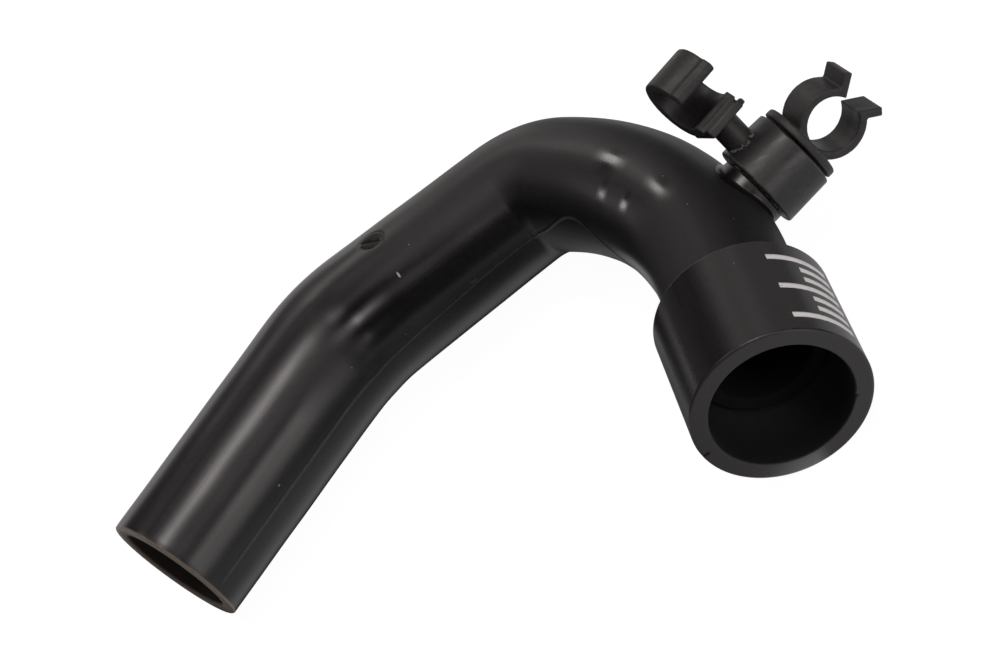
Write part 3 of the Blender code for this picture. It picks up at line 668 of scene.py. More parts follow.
# %% The tube's path
NECK_INSERT, PATH_STEP = 11.0 * MM, 0.3 * MM
ELBOW_HALF, MILD_TURN = math.radians(47.4), math.radians(26.8)
NECK_LENGTH, MIDDLE_LENGTH, LOWER_LENGTH = 21.9 * MM, 32.8 * MM, 45.8 * MM
SWEEP_R, KNEE_R, MILD_R = 60.0 * MM, 14.0 * MM, 27.0 * MM
LEGS = (
    # length, turn
    (NECK_LENGTH, 0.0), (SWEEP_R * ELBOW_HALF, ELBOW_HALF), (KNEE_R * ELBOW_HALF, ELBOW_HALF),
    (MIDDLE_LENGTH, 0.0), (MILD_R * MILD_TURN, MILD_TURN), (LOWER_LENGTH, 0.0),
)
spot = neck_top - Vector((0.0, NECK_INSERT, 0.0))
heading = math.pi / 2
path_points, leg_ends, tube_run = [spot.copy()], [], 0.0
for length, turning in LEGS:
    steps = math.ceil(length / PATH_STEP)
    for _ in range(steps):
        heading += turning / steps / 2
        spot = spot + length / steps * Vector((math.cos(heading), math.sin(heading), 0.0))
        heading += turning / steps / 2
        path_points.append(spot)
    tube_run += length
    leg_ends.append(tube_run)
bend_middle = (leg_ends[3] + leg_ends[4]) / 2
path_curve = bpy.data.curves.new("tube_path", "CURVE")
path_curve.dimensions = "3D"
spline = path_curve.splines.new("POLY")
spline.points.add(len(path_points) - 1)
for knot, point in zip(spline.points, path_points):
    knot.co = (*point, 1.0)
tube_path = bpy.data.objects.new("tube_path", path_curve)
bpy.context.scene.collection.objects.link(tube_path)
print("path of", len(path_points), "points,", round(tube_run / MM, 1), "mm, ends at", in_mm(spot))

# %% [markdown]
# ## Floor
#
# Black gloss mirrors the floor, so the floor's shade matters as much as the lights. The paper glows as
# painted light just inside the hook, which gives the tube its pale lower edge, and carries painted shadow
# right under the tube and in the middle of the hook. Each floor point gets that shade as an attribute,
# worked out from its distance to the path. Rays from the camera don't see that shade: for them the paper
# is plain white.

# %% Floor shade
FLOOR_HALF, FLOOR_DROP, FLOOR_CELLS = 0.32, -0.1 * MM, 256
HOOK_MIDDLE, HOOK_REACH = (5.0 * MM, -20.0 * MM), (28.0 * MM, 85.0 * MM)
END_MIDDLE, END_REACH = (-95.0 * MM, 8.0 * MM), 35.0 * MM
STRIP, LEG_STRIP, NECK_STRIP, STRIP_EDGE = 0.22, 0.33, 1.5, (13.0 * MM, 24.0 * MM)
LEG_BEGINS, NECK_ENDS = (55.0 * MM, 90.0 * MM), (30.0 * MM, 48.0 * MM)
OPEN_SHADE, DARKENING, SHADOW_UNDER_TUBE, TRACK_SKIP = 0.5, 0.9, (5.0 * MM, 11.0 * MM), 8


def ramp(value, low, high):
    """Soft step from 0 at low to 1 at high."""
    share = held((value - low) / (high - low))
    return share * share * (3.0 - 2.0 * share)


floor_mesh = bpy.data.meshes.new("floor")
work = bmesh.new()
bmesh.ops.create_grid(work, x_segments=FLOOR_CELLS, y_segments=FLOOR_CELLS, size=FLOOR_HALF)
work.to_mesh(floor_mesh)
work.free()
floor_mesh.transform(Matrix.Translation((0.0, 0.0, FLOOR_DROP)))
ground = points_of(floor_mesh)[:, :2]
track = np.array([point[:2] for point in path_points])[::TRACK_SKIP]
ahead = np.gradient(track, axis=0)
nearest = ((ground[:, None] - track[None]) ** 2).sum(-1).argmin(1)
aside = ground - track[nearest]
away = np.hypot(*aside.T)
in_hook = ahead[nearest, 0] * aside[:, 1] - ahead[nearest, 1] * aside[:, 0] > 0.0
# Painted shadow in the middle of the hook.
hook = np.exp(-(((ground - HOOK_MIDDLE) / HOOK_REACH) ** 2).sum(1))
beyond = np.exp(-(((ground - END_MIDDLE) / END_REACH) ** 2).sum(1))
run_near = nearest / len(track) * tube_run
# Painted light: a glowing strip just inside the hook, for the tube to mirror.
strip = STRIP + LEG_STRIP * ramp(run_near, *LEG_BEGINS) + NECK_STRIP * (1.0 - ramp(run_near, *NECK_ENDS))
strip = strip * (1.0 - ramp(away, *STRIP_EDGE)) * in_hook
open_paper = OPEN_SHADE * (1.0 - DARKENING * hook) * (1.0 - DARKENING * beyond)
# Painted shadow right under the tube.
shade = np.maximum(strip, open_paper) * ramp(away, *SHADOW_UNDER_TUBE)
store(floor_mesh, "shade", shade)
print("floor of", len(floor_mesh.polygons), "cells, shade", round(float(shade.min()), 2), "to",
      round(float(shade.max()), 2))

# %% [markdown]
# The paper itself is a dim mottled grey that glows: nearly white for rays from the camera, and by the
# stored shade for all others.

# %% Floor paper
PAPER_TONES, PAPER_ROUGH, SEEN_WHITE = ((0.11, 0.11, 0.11, 1.0), (0.14, 0.14, 0.14, 1.0)), 0.9, 0.97
floor = bpy.data.objects.new("floor", floor_mesh)
bpy.context.scene.collection.objects.link(floor)
paper = bpy.data.materials.new("white_paper")
paper.use_nodes = True
tree = paper.node_tree
shader = tree.nodes["Principled BSDF"]
place = add(tree, "ShaderNodeTexCoord").outputs["Object"]
mottle = add(tree, "ShaderNodeTexNoise", {"Scale": 9.0, "Detail": 3.0, "Vector": place}).outputs["Fac"]
feed(tree, shader.inputs["Base Color"], blend_colour(tree, mottle, *PAPER_TONES))
shader.inputs["Emission Color"].default_value = WHITE
shader.inputs["Roughness"].default_value = PAPER_ROUGH
seen = add(tree, "ShaderNodeLightPath").outputs["Is Camera Ray"]
glowing = blend_number(tree, seen, attribute(tree, "shade"), SEEN_WHITE)
feed(tree, shader.inputs["Emission Strength"], glowing)
floor_mesh.materials.append(paper)
floor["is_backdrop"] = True
print(paper.name, "has", len(tree.nodes), "nodes")

# %% [markdown]
# ## The tube's skin, straightened out
#
# A moulded tube has small faults that show in its gloss: a parting line on both sides of the bend's
# plane, a round gate mark where the melt came in, a nick in the parting line, and slight waves. They
# are easy to shape while the tube is still straight, as a height over run and angle.

# %% Tube skin
TUBE_WALL = 2.6 * MM
NECK_R, ELBOW_R, LOWER_R = 11.75 * MM, 12.1 * MM, 13.1 * MM
SKIN_INSET = 0.08 * MM            # keeps ridges and waves within the CAD size
PARTING_HEIGHT, PARTING_WIDTH = 0.1 * MM, 0.2 * MM
PARTING_START, PARTING_FADE_IN, PARTING_FADE_OUT = 12.0 * MM, 6.0 * MM, 3.0 * MM
CLIMBS = ((math.radians(29.0), 58.5 * MM, 9.5 * MM), (math.radians(7.0), 88.0 * MM, 20.0 * MM))
NICK_RUN, NICK_ANGLE, NICK_HEIGHT, NICK_WIDTH = 95.7 * MM, math.radians(2.5), 0.22 * MM, 0.4 * MM
EASE, EASE_HALF = 0.75 * MM, 14.0 * MM
EASE_FADE_UP, EASE_FADE_DOWN = (1.4, 1.9), (0.0, 1.5)
WAVE_HEIGHT, WAVES = 0.012 * MM, ((23.0 * MM, 2), (14.0 * MM, -3))


def tube_radius(run):
    """Outside radius along the run: it grows from the neck to the middle of the mild bend."""
    return np.interp(run, [leg_ends[0], leg_ends[1], bend_middle], [NECK_R, ELBOW_R, LOWER_R])


def turn_from(angle, centre):
    return (angle - centre + math.pi) % (2 * math.pi) - math.pi


def bell(value, centre, width):
    return np.exp(-((value - centre) / width) ** 2)


def parting_shift(run):
    """How far round the inner parting line climbs at the elbow and in the middle section."""
    return sum(turn * bell(run, centre, width) for turn, centre, width in CLIMBS)


def parting_line(run, angle, radius):
    ridge = np.zeros(np.broadcast(run, angle).shape)
    for side, height in ((0.0, PARTING_HEIGHT), (math.pi, PARTING_HEIGHT / 2)):
        ridge = ridge + height * bell(turn_from(angle, side) * radius, 0.0, PARTING_WIDTH)
    fade = held((run - PARTING_START) / PARTING_FADE_IN) * held((tube_run - run) / PARTING_FADE_OUT)
    nick = np.hypot(run - NICK_RUN, turn_from(angle, NICK_ANGLE) * radius)
    return ridge * fade + NICK_HEIGHT * bell(nick, 0.0, NICK_WIDTH)


def bend_ease(run, angle):
    """The inner half of the mild bend is rounder than its outside: it starts earlier and ends later."""
    along = np.cos(math.pi / 2 * np.clip((run - bend_middle) / EASE_HALF, -1.0, 1.0)) ** 2
    turn = turn_from(angle, 0.0)
    fade = np.where(turn > 0.0, ramp(turn, *EASE_FADE_UP), ramp(-turn, *EASE_FADE_DOWN))
    return EASE * along * (np.cos(angle) * (1.0 - fade))


def slight_waves(run, angle):
    return WAVE_HEIGHT * sum(np.sin(2 * math.pi * run / long + turns * angle) for long, turns in WAVES)


print("radius at neck, elbow and lower end", in_mm(tube_radius(r) for r in (0.0, leg_ends[1], tube_run)))

# %% [markdown]
# The gate mark is a leaning oval: a ditch round a disc, and in the disc a crease with one half standing
# a little higher than the other.

# %% Gate mark
GATE_LEAN, GATE_STRETCH = (0.78, 0.63), (1.05, 0.8)
GATE_CREASE, GATE_SOFT, GATE_LINE = 0.4 * MM, 0.3 * MM, 0.22 * MM
DISC_HEIGHT, STEP_HEIGHT, CREASE_DEPTH, DITCH_DEPTH = 0.03 * MM, 0.1 * MM, 0.18 * MM, 0.12 * MM
gate_run, gate_angle, gate_radius = GATE_RUN * MM, math.radians(GATE_ANGLE), GATE_RADIUS * MM


def gate_mark(run, angle, radius):
    along, around = run - gate_run, turn_from(angle, gate_angle) * radius
    (lean, rise), (long, short) = GATE_LEAN, GATE_STRETCH
    lengthwise, crosswise = lean * along + rise * around, rise * along - lean * around
    away = np.hypot(lengthwise / long, crosswise / short)
    disc = held((gate_radius - away) / GATE_SOFT)
    step = held((GATE_CREASE - crosswise) / GATE_SOFT)
    crease = bell(crosswise, GATE_CREASE, GATE_LINE)
    ditch = bell(away, gate_radius, GATE_LINE)
    return disc * (DISC_HEIGHT + STEP_HEIGHT * step - CREASE_DEPTH * crease) - DITCH_DEPTH * ditch


print("gate mark at", in_mm((gate_run,)), "mm of the run")

# %% [markdown]
# The skin's rows follow the run on the outside, turn round the lower lip, come back through the bore
# and close at the neck. Rows and columns are closer together where the small faults are.


# %% Rows and columns
def thinned(values, least):
    """Sorted values without those that come too close to the one before."""
    kept = []
    for value in sorted(values):
        if not kept or value - kept[-1] >= least:
            kept.append(value)
    return kept


def lip(run_end, way, outer, inner, steps=6):
    """(run, depth) points round the end of the wall, from outside to inside."""
    turns = [math.pi / 2 * k / steps for k in range(steps + 1)]
    first = [(run_end - way * outer * (1 - math.sin(t)), outer * (1 - math.cos(t))) for t in turns]
    second = [(run_end - way * inner * (1 - math.cos(t)), TUBE_WALL - inner * (1 - math.sin(t)))
              for t in turns]
    return [*first, *second]


EVEN_COLUMNS, LEAST_TURN, LEAST_RUN = 120, math.radians(0.35), 0.18 * MM
RIDGE_ARCS, RIDGE_R = (-1.0, -0.6, -0.35, -0.2, -0.1, 0.0, 0.1, 0.2, 0.35, 0.6, 1.0), 12.6     # mm
GROOVES = ((2.45 * MM, 4.75 * MM, 1.0 * MM), (6.2 * MM, 8.0 * MM, 1.1 * MM))
ROW_SPANS = (
    # from, to, step
    (9.0 * MM, tube_run - 0.6 * MM, 1.1 * MM), (leg_ends[1], leg_ends[2] + 1.0 * MM, 0.5 * MM),
    (gate_run - 3.2 * MM, gate_run + 3.2 * MM, 0.22 * MM),
    (NICK_RUN - 0.9 * MM, NICK_RUN + 0.9 * MM, 0.22 * MM),
)
OUTER_EDGE, INNER_EDGE, BORE_STEP, BORE_INSET = 0.4 * MM, 0.3 * MM, 2.2 * MM, 1.0 * MM
GATE_SPAN = -14.0, 14.1, 0.9        # degrees
ridge_angles = [side + arc / RIDGE_R for side in (0.0, math.pi) for arc in RIDGE_ARCS]
gate_angles = [gate_angle + math.radians(a) for a in np.arange(*GATE_SPAN)]
all_angles = (*ridge_angles, *gate_angles, *round_angles(EVEN_COLUMNS))
columns = thinned([a % (2 * math.pi) for a in all_angles], LEAST_TURN)
rows_out = []
for start, end, depth in GROOVES:
    rows_out += [(start, 0.0), (start, depth), (end, depth), (end, 0.0)]
rows_out += [(r, 0.0) for r in thinned([r for span in ROW_SPANS for r in np.arange(*span)], LEAST_RUN)]
rows_in = [(r, TUBE_WALL) for r in np.arange(tube_run - BORE_INSET, BORE_INSET, -BORE_STEP)]
lower_lip = lip(tube_run, 1.0, OUTER_EDGE, INNER_EDGE)
neck_lip = list(reversed(lip(0.0, -1.0, INNER_EDGE, INNER_EDGE)))
skin_rows = [*rows_out, *lower_lip, *rows_in, *neck_lip]
print(len(skin_rows), "rows x", len(columns), "columns")

# %% [markdown]
# Faults go only on the outside that shows. Two attributes stay with the points: straight, the position
# before bending, and inside, which is 1 in the bore and on the part of the neck that the collar hides.

# %% Straight tube
BORE_DEPTH, BORE_FADE, HIDDEN_NECK = 2.0 * MM, 0.5 * MM, NECK_INSERT - 2.0 * MM
SHIFT_REACH = 0.9
runs = np.array([r for r, _ in skin_rows])[:, None]
depths = np.array([d for _, d in skin_rows])[:, None]
angles = np.array(columns)[None, :]
radii = tube_radius(runs) - depths - SKIN_INSET
shown = (np.arange(len(skin_rows)) < len(rows_out))[:, None] & (depths == 0.0)
faults = parting_line(runs, angles, radii) + gate_mark(runs, angles, radii) + slight_waves(runs, angles)
radii = radii + np.where(shown, faults + bend_ease(runs, angles), 0.0)
angles = angles + parting_shift(runs) * bell(turn_from(angles, 0.0), 0.0, SHIFT_REACH)
runs = np.broadcast_to(runs, radii.shape)
skin = np.stack([radii * np.cos(angles), radii * np.sin(angles), runs], axis=-1)
skin_faces = grid_faces(len(skin_rows), len(columns), closed_rows=True)
tube = new_piece("tube_skin", skin.reshape(-1, 3), skin_faces, tube_gloss)
straight = points_of(tube.data)
store(tube.data, "straight", straight)
depth_here = tube_radius(straight[:, 2]) - np.hypot(straight[:, 0], straight[:, 1])
bore = held((depth_here - BORE_DEPTH) / BORE_FADE)
bore[straight[:, 2] < HIDDEN_NECK] = 1.0
store(tube.data, "inside", bore)
print("straight tube of", len(tube.data.polygons), "faces")

# %% [markdown]
# ## Bending the tube
#
# The bend is a rule, so Geometry Nodes do it: a point at run z goes to the place of the path at length
# z, moved sideways by its x and up by its y. Sideways is the cross product of up and the path's
# tangent. The same tree could bend anything else that belongs on the tube.


# %% Bend along a path
def new_tree(name, inputs):
    """Empty Geometry Nodes tree with a mesh going through it; returns tree, inputs and the way out."""
    tree = bpy.data.node_groups.new(name, "GeometryNodeTree")
    tree.interface.new_socket("Geometry", in_out="INPUT", socket_type="NodeSocketGeometry")
    for socket, kind in inputs.items():
        tree.interface.new_socket(socket, in_out="INPUT", socket_type=kind)
    tree.interface.new_socket("Geometry", in_out="OUTPUT", socket_type="NodeSocketGeometry")
    return tree, add(tree, "NodeGroupInput").outputs, add(tree, "NodeGroupOutput").inputs["Geometry"]


def position_parts(tree):
    position = add(tree, "GeometryNodeInputPosition").outputs[0]
    return add(tree, "ShaderNodeSeparateXYZ", {0: position}).outputs


def moved_to(tree, geometry, position):
    return add(tree, "GeometryNodeSetPosition", {"Geometry": geometry, "Position": position}).outputs[0]


def end_tree(tree, geometry, material, way_out):
    """Every tree ends in real geometry with its material."""
    whole = add(tree, "GeometryNodeRealizeInstances", {"Geometry": geometry}).outputs[0]
    painted = add(tree, "GeometryNodeSetMaterial", {"Geometry": whole, "Material": material}).outputs[0]
    feed(tree, way_out, painted)


bend_tree, given, way_out = new_tree(
    "bend_along_path", {"Path": "NodeSocketObject", "Finish": "NodeSocketMaterial"})
place = position_parts(bend_tree)
guide = add(bend_tree, "GeometryNodeObjectInfo", {"Object": given["Path"]}).outputs["Geometry"]
on_path = add(bend_tree, "GeometryNodeSampleCurve", {"Curves": guide, "Length": place["Z"]},
              mode="LENGTH").outputs
sideways = vector_node(bend_tree, "CROSS_PRODUCT", upright, on_path["Tangent"])
sideways = vector_node(bend_tree, "NORMALIZE", sideways)
shifted = vector_node(bend_tree, "SCALE", sideways, place["X"])
lifted = add(bend_tree, "ShaderNodeCombineXYZ", {"Z": place["Y"]}).outputs[0]
bent = vector_node(bend_tree, "ADD", on_path["Position"], shifted)
bent = vector_node(bend_tree, "ADD", bent, lifted)
end_tree(bend_tree, moved_to(bend_tree, given["Geometry"], bent), given["Finish"], way_out)
print(bend_tree.name, "has", len(bend_tree.nodes), "nodes")

# %% [markdown]
# A tree works through a modifier. Its inputs are set by socket identifier before anything is evaluated,
# then the evaluated result becomes a plain mesh and the modifier goes.


# %% Run a tree
def bake_modifiers(item):
    """Keeps what an object's modifiers make of it as its plain mesh."""
    bpy.context.view_layer.update()
    ready = item.evaluated_get(bpy.context.evaluated_depsgraph_get())
    mesh = bpy.data.meshes.new_from_object(ready)
    item.modifiers.clear()
    item.data = mesh
    mesh.name = item.name
    mesh.shade_smooth()
    return mesh


def run_tree(item, tree, **values):
    """Runs a Geometry Nodes tree on an object with its named inputs."""
    modifier = item.modifiers.new(tree.name, "NODES")
    modifier.node_group = tree
    for socket in tree.interface.items_tree:
        if socket.in_out == "INPUT" and socket.name in values:
            modifier[socket.identifier] = values[socket.name]
    bake_modifiers(item)


run_tree(tube, bend_tree, Path=tube_path, Finish=tube_gloss)
bpy.data.objects.remove(tube_path)
mark_edges(tube)
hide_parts("tube")
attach(tube, "tube")
screen(("elbow_box", "inner_box"), tube)
print("tube skin of", len(tube.data.polygons), "faces")

# %% [markdown]
# ## Turned pieces
#
# Boss, collar, sleeve and cap flange are round. A turned piece is a profile of radius and height, swept
# round local Z and put in place by a matrix.


# %% Turned pieces
def to_world(local, frame_matrix):
    matrix = np.array(frame_matrix)
    return np.asarray(local) @ matrix[:3, :3].T + matrix[:3, 3]


def turned_points(profile, angles, frame_matrix):
    rows = np.array(profile)
    radius, height = rows[:, 0][:, None], rows[:, 1][:, None]
    angles = np.asarray(angles)[None, :]
    height = np.broadcast_to(height, (len(rows), angles.shape[1]))
    local = np.stack([radius * np.cos(angles), radius * np.sin(angles), height], axis=-1)
    return to_world(local.reshape(-1, 3), frame_matrix)


print("a turned profile of 2 rows and 4 columns has",
      len(turned_points([(1, 0), (1, 1)], round_angles(4), Matrix.Identity(4))), "points")

# %% [markdown]
# ## Boss and spigot
#
# The swivel stands on a round boss that grows out of the tube with a small fillet. Its foot has to
# follow the curved skin, so each column asks the skin for its height there by casting a ray. Above the
# boss, hidden in the sleeve, stands a hollow spigot for the cap's split plug.

# %% Boss and spigot
BOSS_R, BOSS_RISE, BOSS_FILLET, BOSS_EDGE = 6.55 * MM, 0.5 * MM, 0.8 * MM, 0.3 * MM
BOSS_COLUMNS, EDGE_STEPS, FILLET_STEPS = 144, 5, 7
ROOT_OUT, ROOT_SINK, ROOT_DEEP, ROOT_BOTTOM = 0.1 * MM, 0.12 * MM, 0.6 * MM, -1.8 * MM
PROBE_HEIGHT = 8.0 * MM
SPIGOT = metres((
    (0.0, 1.6), (2.6, 1.6), (2.75, 1.75), (2.75, 5.0), (2.3, 5.1), (2.3, 10.3), (2.5, 10.5),
    (3.75, 10.5), (4.0, 10.25), (4.0, 0.7), (4.2, 0.5), (6.1, 0.5)))
skin_tree = BVHTree.FromPolygons([v.co for v in tube.data.vertices],
                                 [p.vertices for p in tube.data.polygons])


def skin_height(radius, angle):
    """Height of the tube's skin above the swivel's origin, at a spot round the swivel axis."""
    above = Vector((radius * math.cos(angle), radius * math.sin(angle), PROBE_HEIGHT))
    hit = skin_tree.ray_cast(swivel_frame @ above, -swivel_axis)
    return PROBE_HEIGHT - hit[3]


def quarter(steps):
    """Sine and cosine through a quarter turn."""
    turns = [math.pi / 2 * k / steps for k in range(steps + 1)]
    return [(math.sin(t), math.cos(t)) for t in turns]


boss_angles = round_angles(BOSS_COLUMNS)
boss_profile = [*SPIGOT, *((BOSS_R - BOSS_EDGE * (1 - sine), BOSS_RISE - BOSS_EDGE * (1 - cosine))
                           for sine, cosine in quarter(EDGE_STEPS))]
boss_rows = [[row] * BOSS_COLUMNS for row in boss_profile]
for sine, cosine in quarter(FILLET_STEPS):
    reach, rise = BOSS_R + BOSS_FILLET * (1 - cosine), BOSS_FILLET * (1 - sine)
    boss_rows.append([(reach, min(skin_height(reach, a) + rise, BOSS_RISE - BOSS_EDGE))
                      for a in boss_angles])
foot = [skin_height(BOSS_R + BOSS_FILLET, a) for a in boss_angles]
boss_rows.append([(BOSS_R + BOSS_FILLET + ROOT_OUT, h - ROOT_SINK) for h in foot])
boss_rows.append([(BOSS_R, h - ROOT_DEEP) for h in foot])
boss_rows.append([(0.0, ROOT_BOTTOM)] * BOSS_COLUMNS)
boss_points = [(r * math.cos(a), r * math.sin(a), h) for row in boss_rows
               for (r, h), a in zip(row, boss_angles)]
boss = new_piece("tube_boss", to_world(boss_points, swivel_frame),
                 grid_faces(len(boss_rows), BOSS_COLUMNS, closed_rows=False), tube_gloss)
boss_place = points_of(boss.data)
boss_place[:, 2] += tube_run / 2        # a run where the finish is polished
store(boss.data, "straight", boss_place)
mark_edges(boss)
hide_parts("tube")
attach(boss, "tube")
print("boss foot between", in_mm((min(foot), max(foot))), "mm")

# %% [markdown]
# ## Collar
#
# The collar is one turned rubber socket: the neck turns in its upper bore, which has grooves for seal
# and snap ring, and a stub plugs into its mouth. Every visible corner has its own rounding. Two small
# injuries make it this one: a nick in the rim and a notch at the edge of the bore. The attributes rim
# and inside tell the finish where its mouth and its bore are.

# %% Collar
COLLAR_LENGTH, MOUTH_R, TOP_R = 24.0 * MM, 15.7 * MM, 15.4 * MM
COLLAR_CORNERS = metres((
    # radius, station from the top, rounding
    (15.7, 24.0, 0.5), (15.4, 0.0, 0.3), (12.85, 0.0, 0.2), (12.05, 0.8, 0.2), (12.05, 3.0, 0.0),
    (13.15, 3.0, 0.0), (13.15, 4.8, 0.0), (12.05, 4.8, 0.0), (12.05, 6.25, 0.0), (13.05, 6.25, 0.0),
    (13.05, 8.55, 0.0), (12.05, 8.55, 0.0), (12.05, 11.3, 0.0), (12.4, 11.3, 0.0), (12.4, 24.0, 0.35)))
ARC_STEPS, COLLAR_COLUMNS, COLLAR_LEAST = 6, 216, math.radians(0.2)
SIDE_SPAN, RIM_SPAN, NICK_SPAN = (1.5, 23.0, 1.5), (13.1, 15.0, 0.3), (-4.0, 4.1, 0.4)
RIM_NICK, BORE_NOTCH = math.radians(179.0), math.radians(-35.0)
NICK_WIDE, NICK_DEEP, NICK_FROM, NICK_FADE = 0.28 * MM, 0.3 * MM, 14.0 * MM, 0.6 * MM
NOTCH_WIDE, NOTCH_DEEP, NOTCH_TO, NOTCH_FADE = 0.5 * MM, 0.35 * MM, 13.1 * MM, 0.5 * MM
HURT_DEPTH, HURT_FADE = 0.5 * MM, 0.3 * MM
SOCKET_R, SOCKET_FADE, RIM_DEPTH, RIM_FADE = 12.75 * MM, 0.3 * MM, 0.3 * MM, 0.25 * MM
collar_frame = Matrix((Vector((1, 0, 0)), Vector((0, 0, 1)), Vector((0, -1, 0)))).transposed().to_4x4()
collar_frame.translation = neck_top
corner_rows = rounded(COLLAR_CORNERS, ARC_STEPS)
first_arc = ARC_STEPS + 3
side_rows = [(MOUTH_R - (MOUTH_R - TOP_R) * t * MM / COLLAR_LENGTH, COLLAR_LENGTH - t * MM)
             for t in np.arange(*SIDE_SPAN)]
rim_rows = [(r * MM, COLLAR_LENGTH) for r in np.arange(*RIM_SPAN)]
collar_profile = [*corner_rows[:first_arc], *side_rows, *corner_rows[first_arc:], *rim_rows]
nick_angles = [spot + math.radians(a) for spot in (RIM_NICK, BORE_NOTCH) for a in np.arange(*NICK_SPAN)]
collar_angles = (*nick_angles, *round_angles(COLLAR_COLUMNS))
collar_columns = thinned([a % (2 * math.pi) for a in collar_angles], COLLAR_LEAST)
collar_points = turned_points(collar_profile, collar_columns, Matrix.Identity(4))
across, upward, station = collar_points.T
radius, angle = np.hypot(across, upward), np.arctan2(upward, across)
at_rim = held((station - (COLLAR_LENGTH - HURT_DEPTH)) / HURT_FADE)
nick = bell(turn_from(angle, RIM_NICK) * radius, 0.0, NICK_WIDE)
nick = nick * held((radius - NICK_FROM) / NICK_FADE)
notch = bell(turn_from(angle, BORE_NOTCH) * radius, 0.0, NOTCH_WIDE)
notch = notch * held((NOTCH_TO - radius) / NOTCH_FADE)
collar_points[:, 2] -= at_rim * (NICK_DEEP * nick + NOTCH_DEEP * notch)
collar = new_piece("collar_socket", to_world(collar_points, collar_frame),
                   grid_faces(len(collar_profile), len(collar_columns), closed_rows=True), collar_rubber)
mark_edges(collar)
across, back, upward = (points_of(collar.data) - np.array(neck_top)).T
store(collar.data, "inside", held((SOCKET_R - np.hypot(across, upward)) / SOCKET_FADE))
store(collar.data, "rim", held((-back - (COLLAR_LENGTH - RIM_DEPTH)) / RIM_FADE))
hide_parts("collar")
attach(collar, "collar")
print("collar of", len(collar.data.polygons), "faces")

# %% [markdown]
# ## Graduation marks
#
# A pale printed scale on the collar's side shows how deep a stub sits. The same short bar repeats, so
# Geometry Nodes place it: a line of points, a thin bar on each, every third one long, and then the flat
# scale is wrapped round the collar. Flat x becomes an angle, flat y the station, flat z the height.

# %% Graduation marks
MARKS = {"Count": 7, "Pitch": 2.6 * MM, "Width": 1.25 * MM, "Short": 7.0 * MM, "Long": 12.4 * MM}
FIRST_STATION, FIRST_ANGLE, WRAP_R = 4.4 * MM, math.radians(2.0), 15.5 * MM
INK, LONG_EVERY = 0.04 * MM, 3.0
mark_tree, given, way_out = new_tree("graduation_marks", {
    "Count": "NodeSocketInt", "Pitch": NUMBER, "Width": NUMBER, "Short": NUMBER, "Long": NUMBER,
    "Finish": "NodeSocketMaterial"})


def mark_sum(operation, first, second=0.0):
    return math_node(mark_tree, operation, first, second)


def mark_vector(**parts):
    return add(mark_tree, "ShaderNodeCombineXYZ", parts).outputs[0]


line = add(mark_tree, "GeometryNodeMeshLine", {
    "Count": given["Count"], "Offset": mark_vector(Y=given["Pitch"])}).outputs[0]
bar = add(mark_tree, "GeometryNodeMeshCube", {
    "Size": (1.0, 1.0, 2 * INK), "Vertices X": 48, "Vertices Y": 4}).outputs[0]
bar = add(mark_tree, "GeometryNodeTransform", {"Geometry": bar, "Translation": (0.5, 0.0, 0.0)}).outputs[0]
number = add(mark_tree, "GeometryNodeInputIndex").outputs[0]
long_one = mark_sum("LESS_THAN", mark_sum("MODULO", number, LONG_EVERY), 0.5)
extra = mark_sum("MULTIPLY", long_one, mark_sum("SUBTRACT", given["Long"], given["Short"]))
size = mark_vector(X=mark_sum("ADD", given["Short"], extra), Y=given["Width"], Z=1.0)
bars = add(mark_tree, "GeometryNodeInstanceOnPoints", {"Points": line, "Instance": bar, "Scale": size})
flat = add(mark_tree, "GeometryNodeRealizeInstances", {"Geometry": bars.outputs[0]}).outputs[0]
spot = position_parts(mark_tree)
station = mark_sum("ADD", spot["Y"], FIRST_STATION)
side = mark_sum("ADD", mark_sum("MULTIPLY", station, (MOUTH_R - TOP_R) / COLLAR_LENGTH), TOP_R)
side = mark_sum("ADD", side, spot["Z"])
turn_here = mark_sum("ADD", mark_sum("DIVIDE", spot["X"], WRAP_R), FIRST_ANGLE)
wrapped = mark_vector(X=mark_sum("MULTIPLY", side, mark_sum("COSINE", turn_here)),
                      Y=mark_sum("MULTIPLY", station, -1.0),
                      Z=mark_sum("MULTIPLY", side, mark_sum("SINE", turn_here)))
wrapped = vector_node(mark_tree, "ADD", wrapped, tuple(neck_top))
end_tree(mark_tree, moved_to(mark_tree, flat, wrapped), given["Finish"], way_out)
marks = new_piece("collar_marks", [(0, 0, 0)], [], mark_ink)
run_tree(marks, mark_tree, Finish=mark_ink, **MARKS)
mark_edges(marks)
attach(marks, "collar")
screen(("collar_box", "collar_edge_box"), collar, marks)
print(len(marks.data.polygons), "faces in", MARKS["Count"], "marks")

# %% [markdown]
# ## Swivel sleeve
#
# The sleeve is a plain turned ring with washer pockets at both ends and softly rounded edges.

# %% Swivel sleeve
SLEEVE_COLUMNS = 160
SLEEVE_CORNERS = metres((
    (8.0, 10.3, 0.4), (8.25, 0.8, 0.4), (5.5, 0.8, 0.1), (5.5, 1.9, 0.0), (4.3, 1.9, 0.1), (4.3, 9.4, 0.1),
    (5.5, 9.4, 0.0), (5.5, 10.3, 0.1)))
sleeve_profile = rounded(SLEEVE_CORNERS)
sleeve_points = turned_points(sleeve_profile, round_angles(SLEEVE_COLUMNS), swivel_frame)
sleeve = new_piece("sleeve_barrel", sleeve_points,
                   grid_faces(len(sleeve_profile), SLEEVE_COLUMNS, closed_rows=True), sleeve_plastic)
mark_edges(sleeve)
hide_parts("swivel_sleeve")
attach(sleeve, "sleeve")
print("sleeve of", len(sleeve.data.polygons), "faces")

# %% [markdown]
# ## Clip outlines
#
# Both clips are C-shaped outlines with some width. They differ at the ends of their arms: two flared
# tips on the cap clip, a round lip and a short cut arm on the side clip. So one function closes the C
# from the points of its right end, and mirrors them unless the left end is given too.


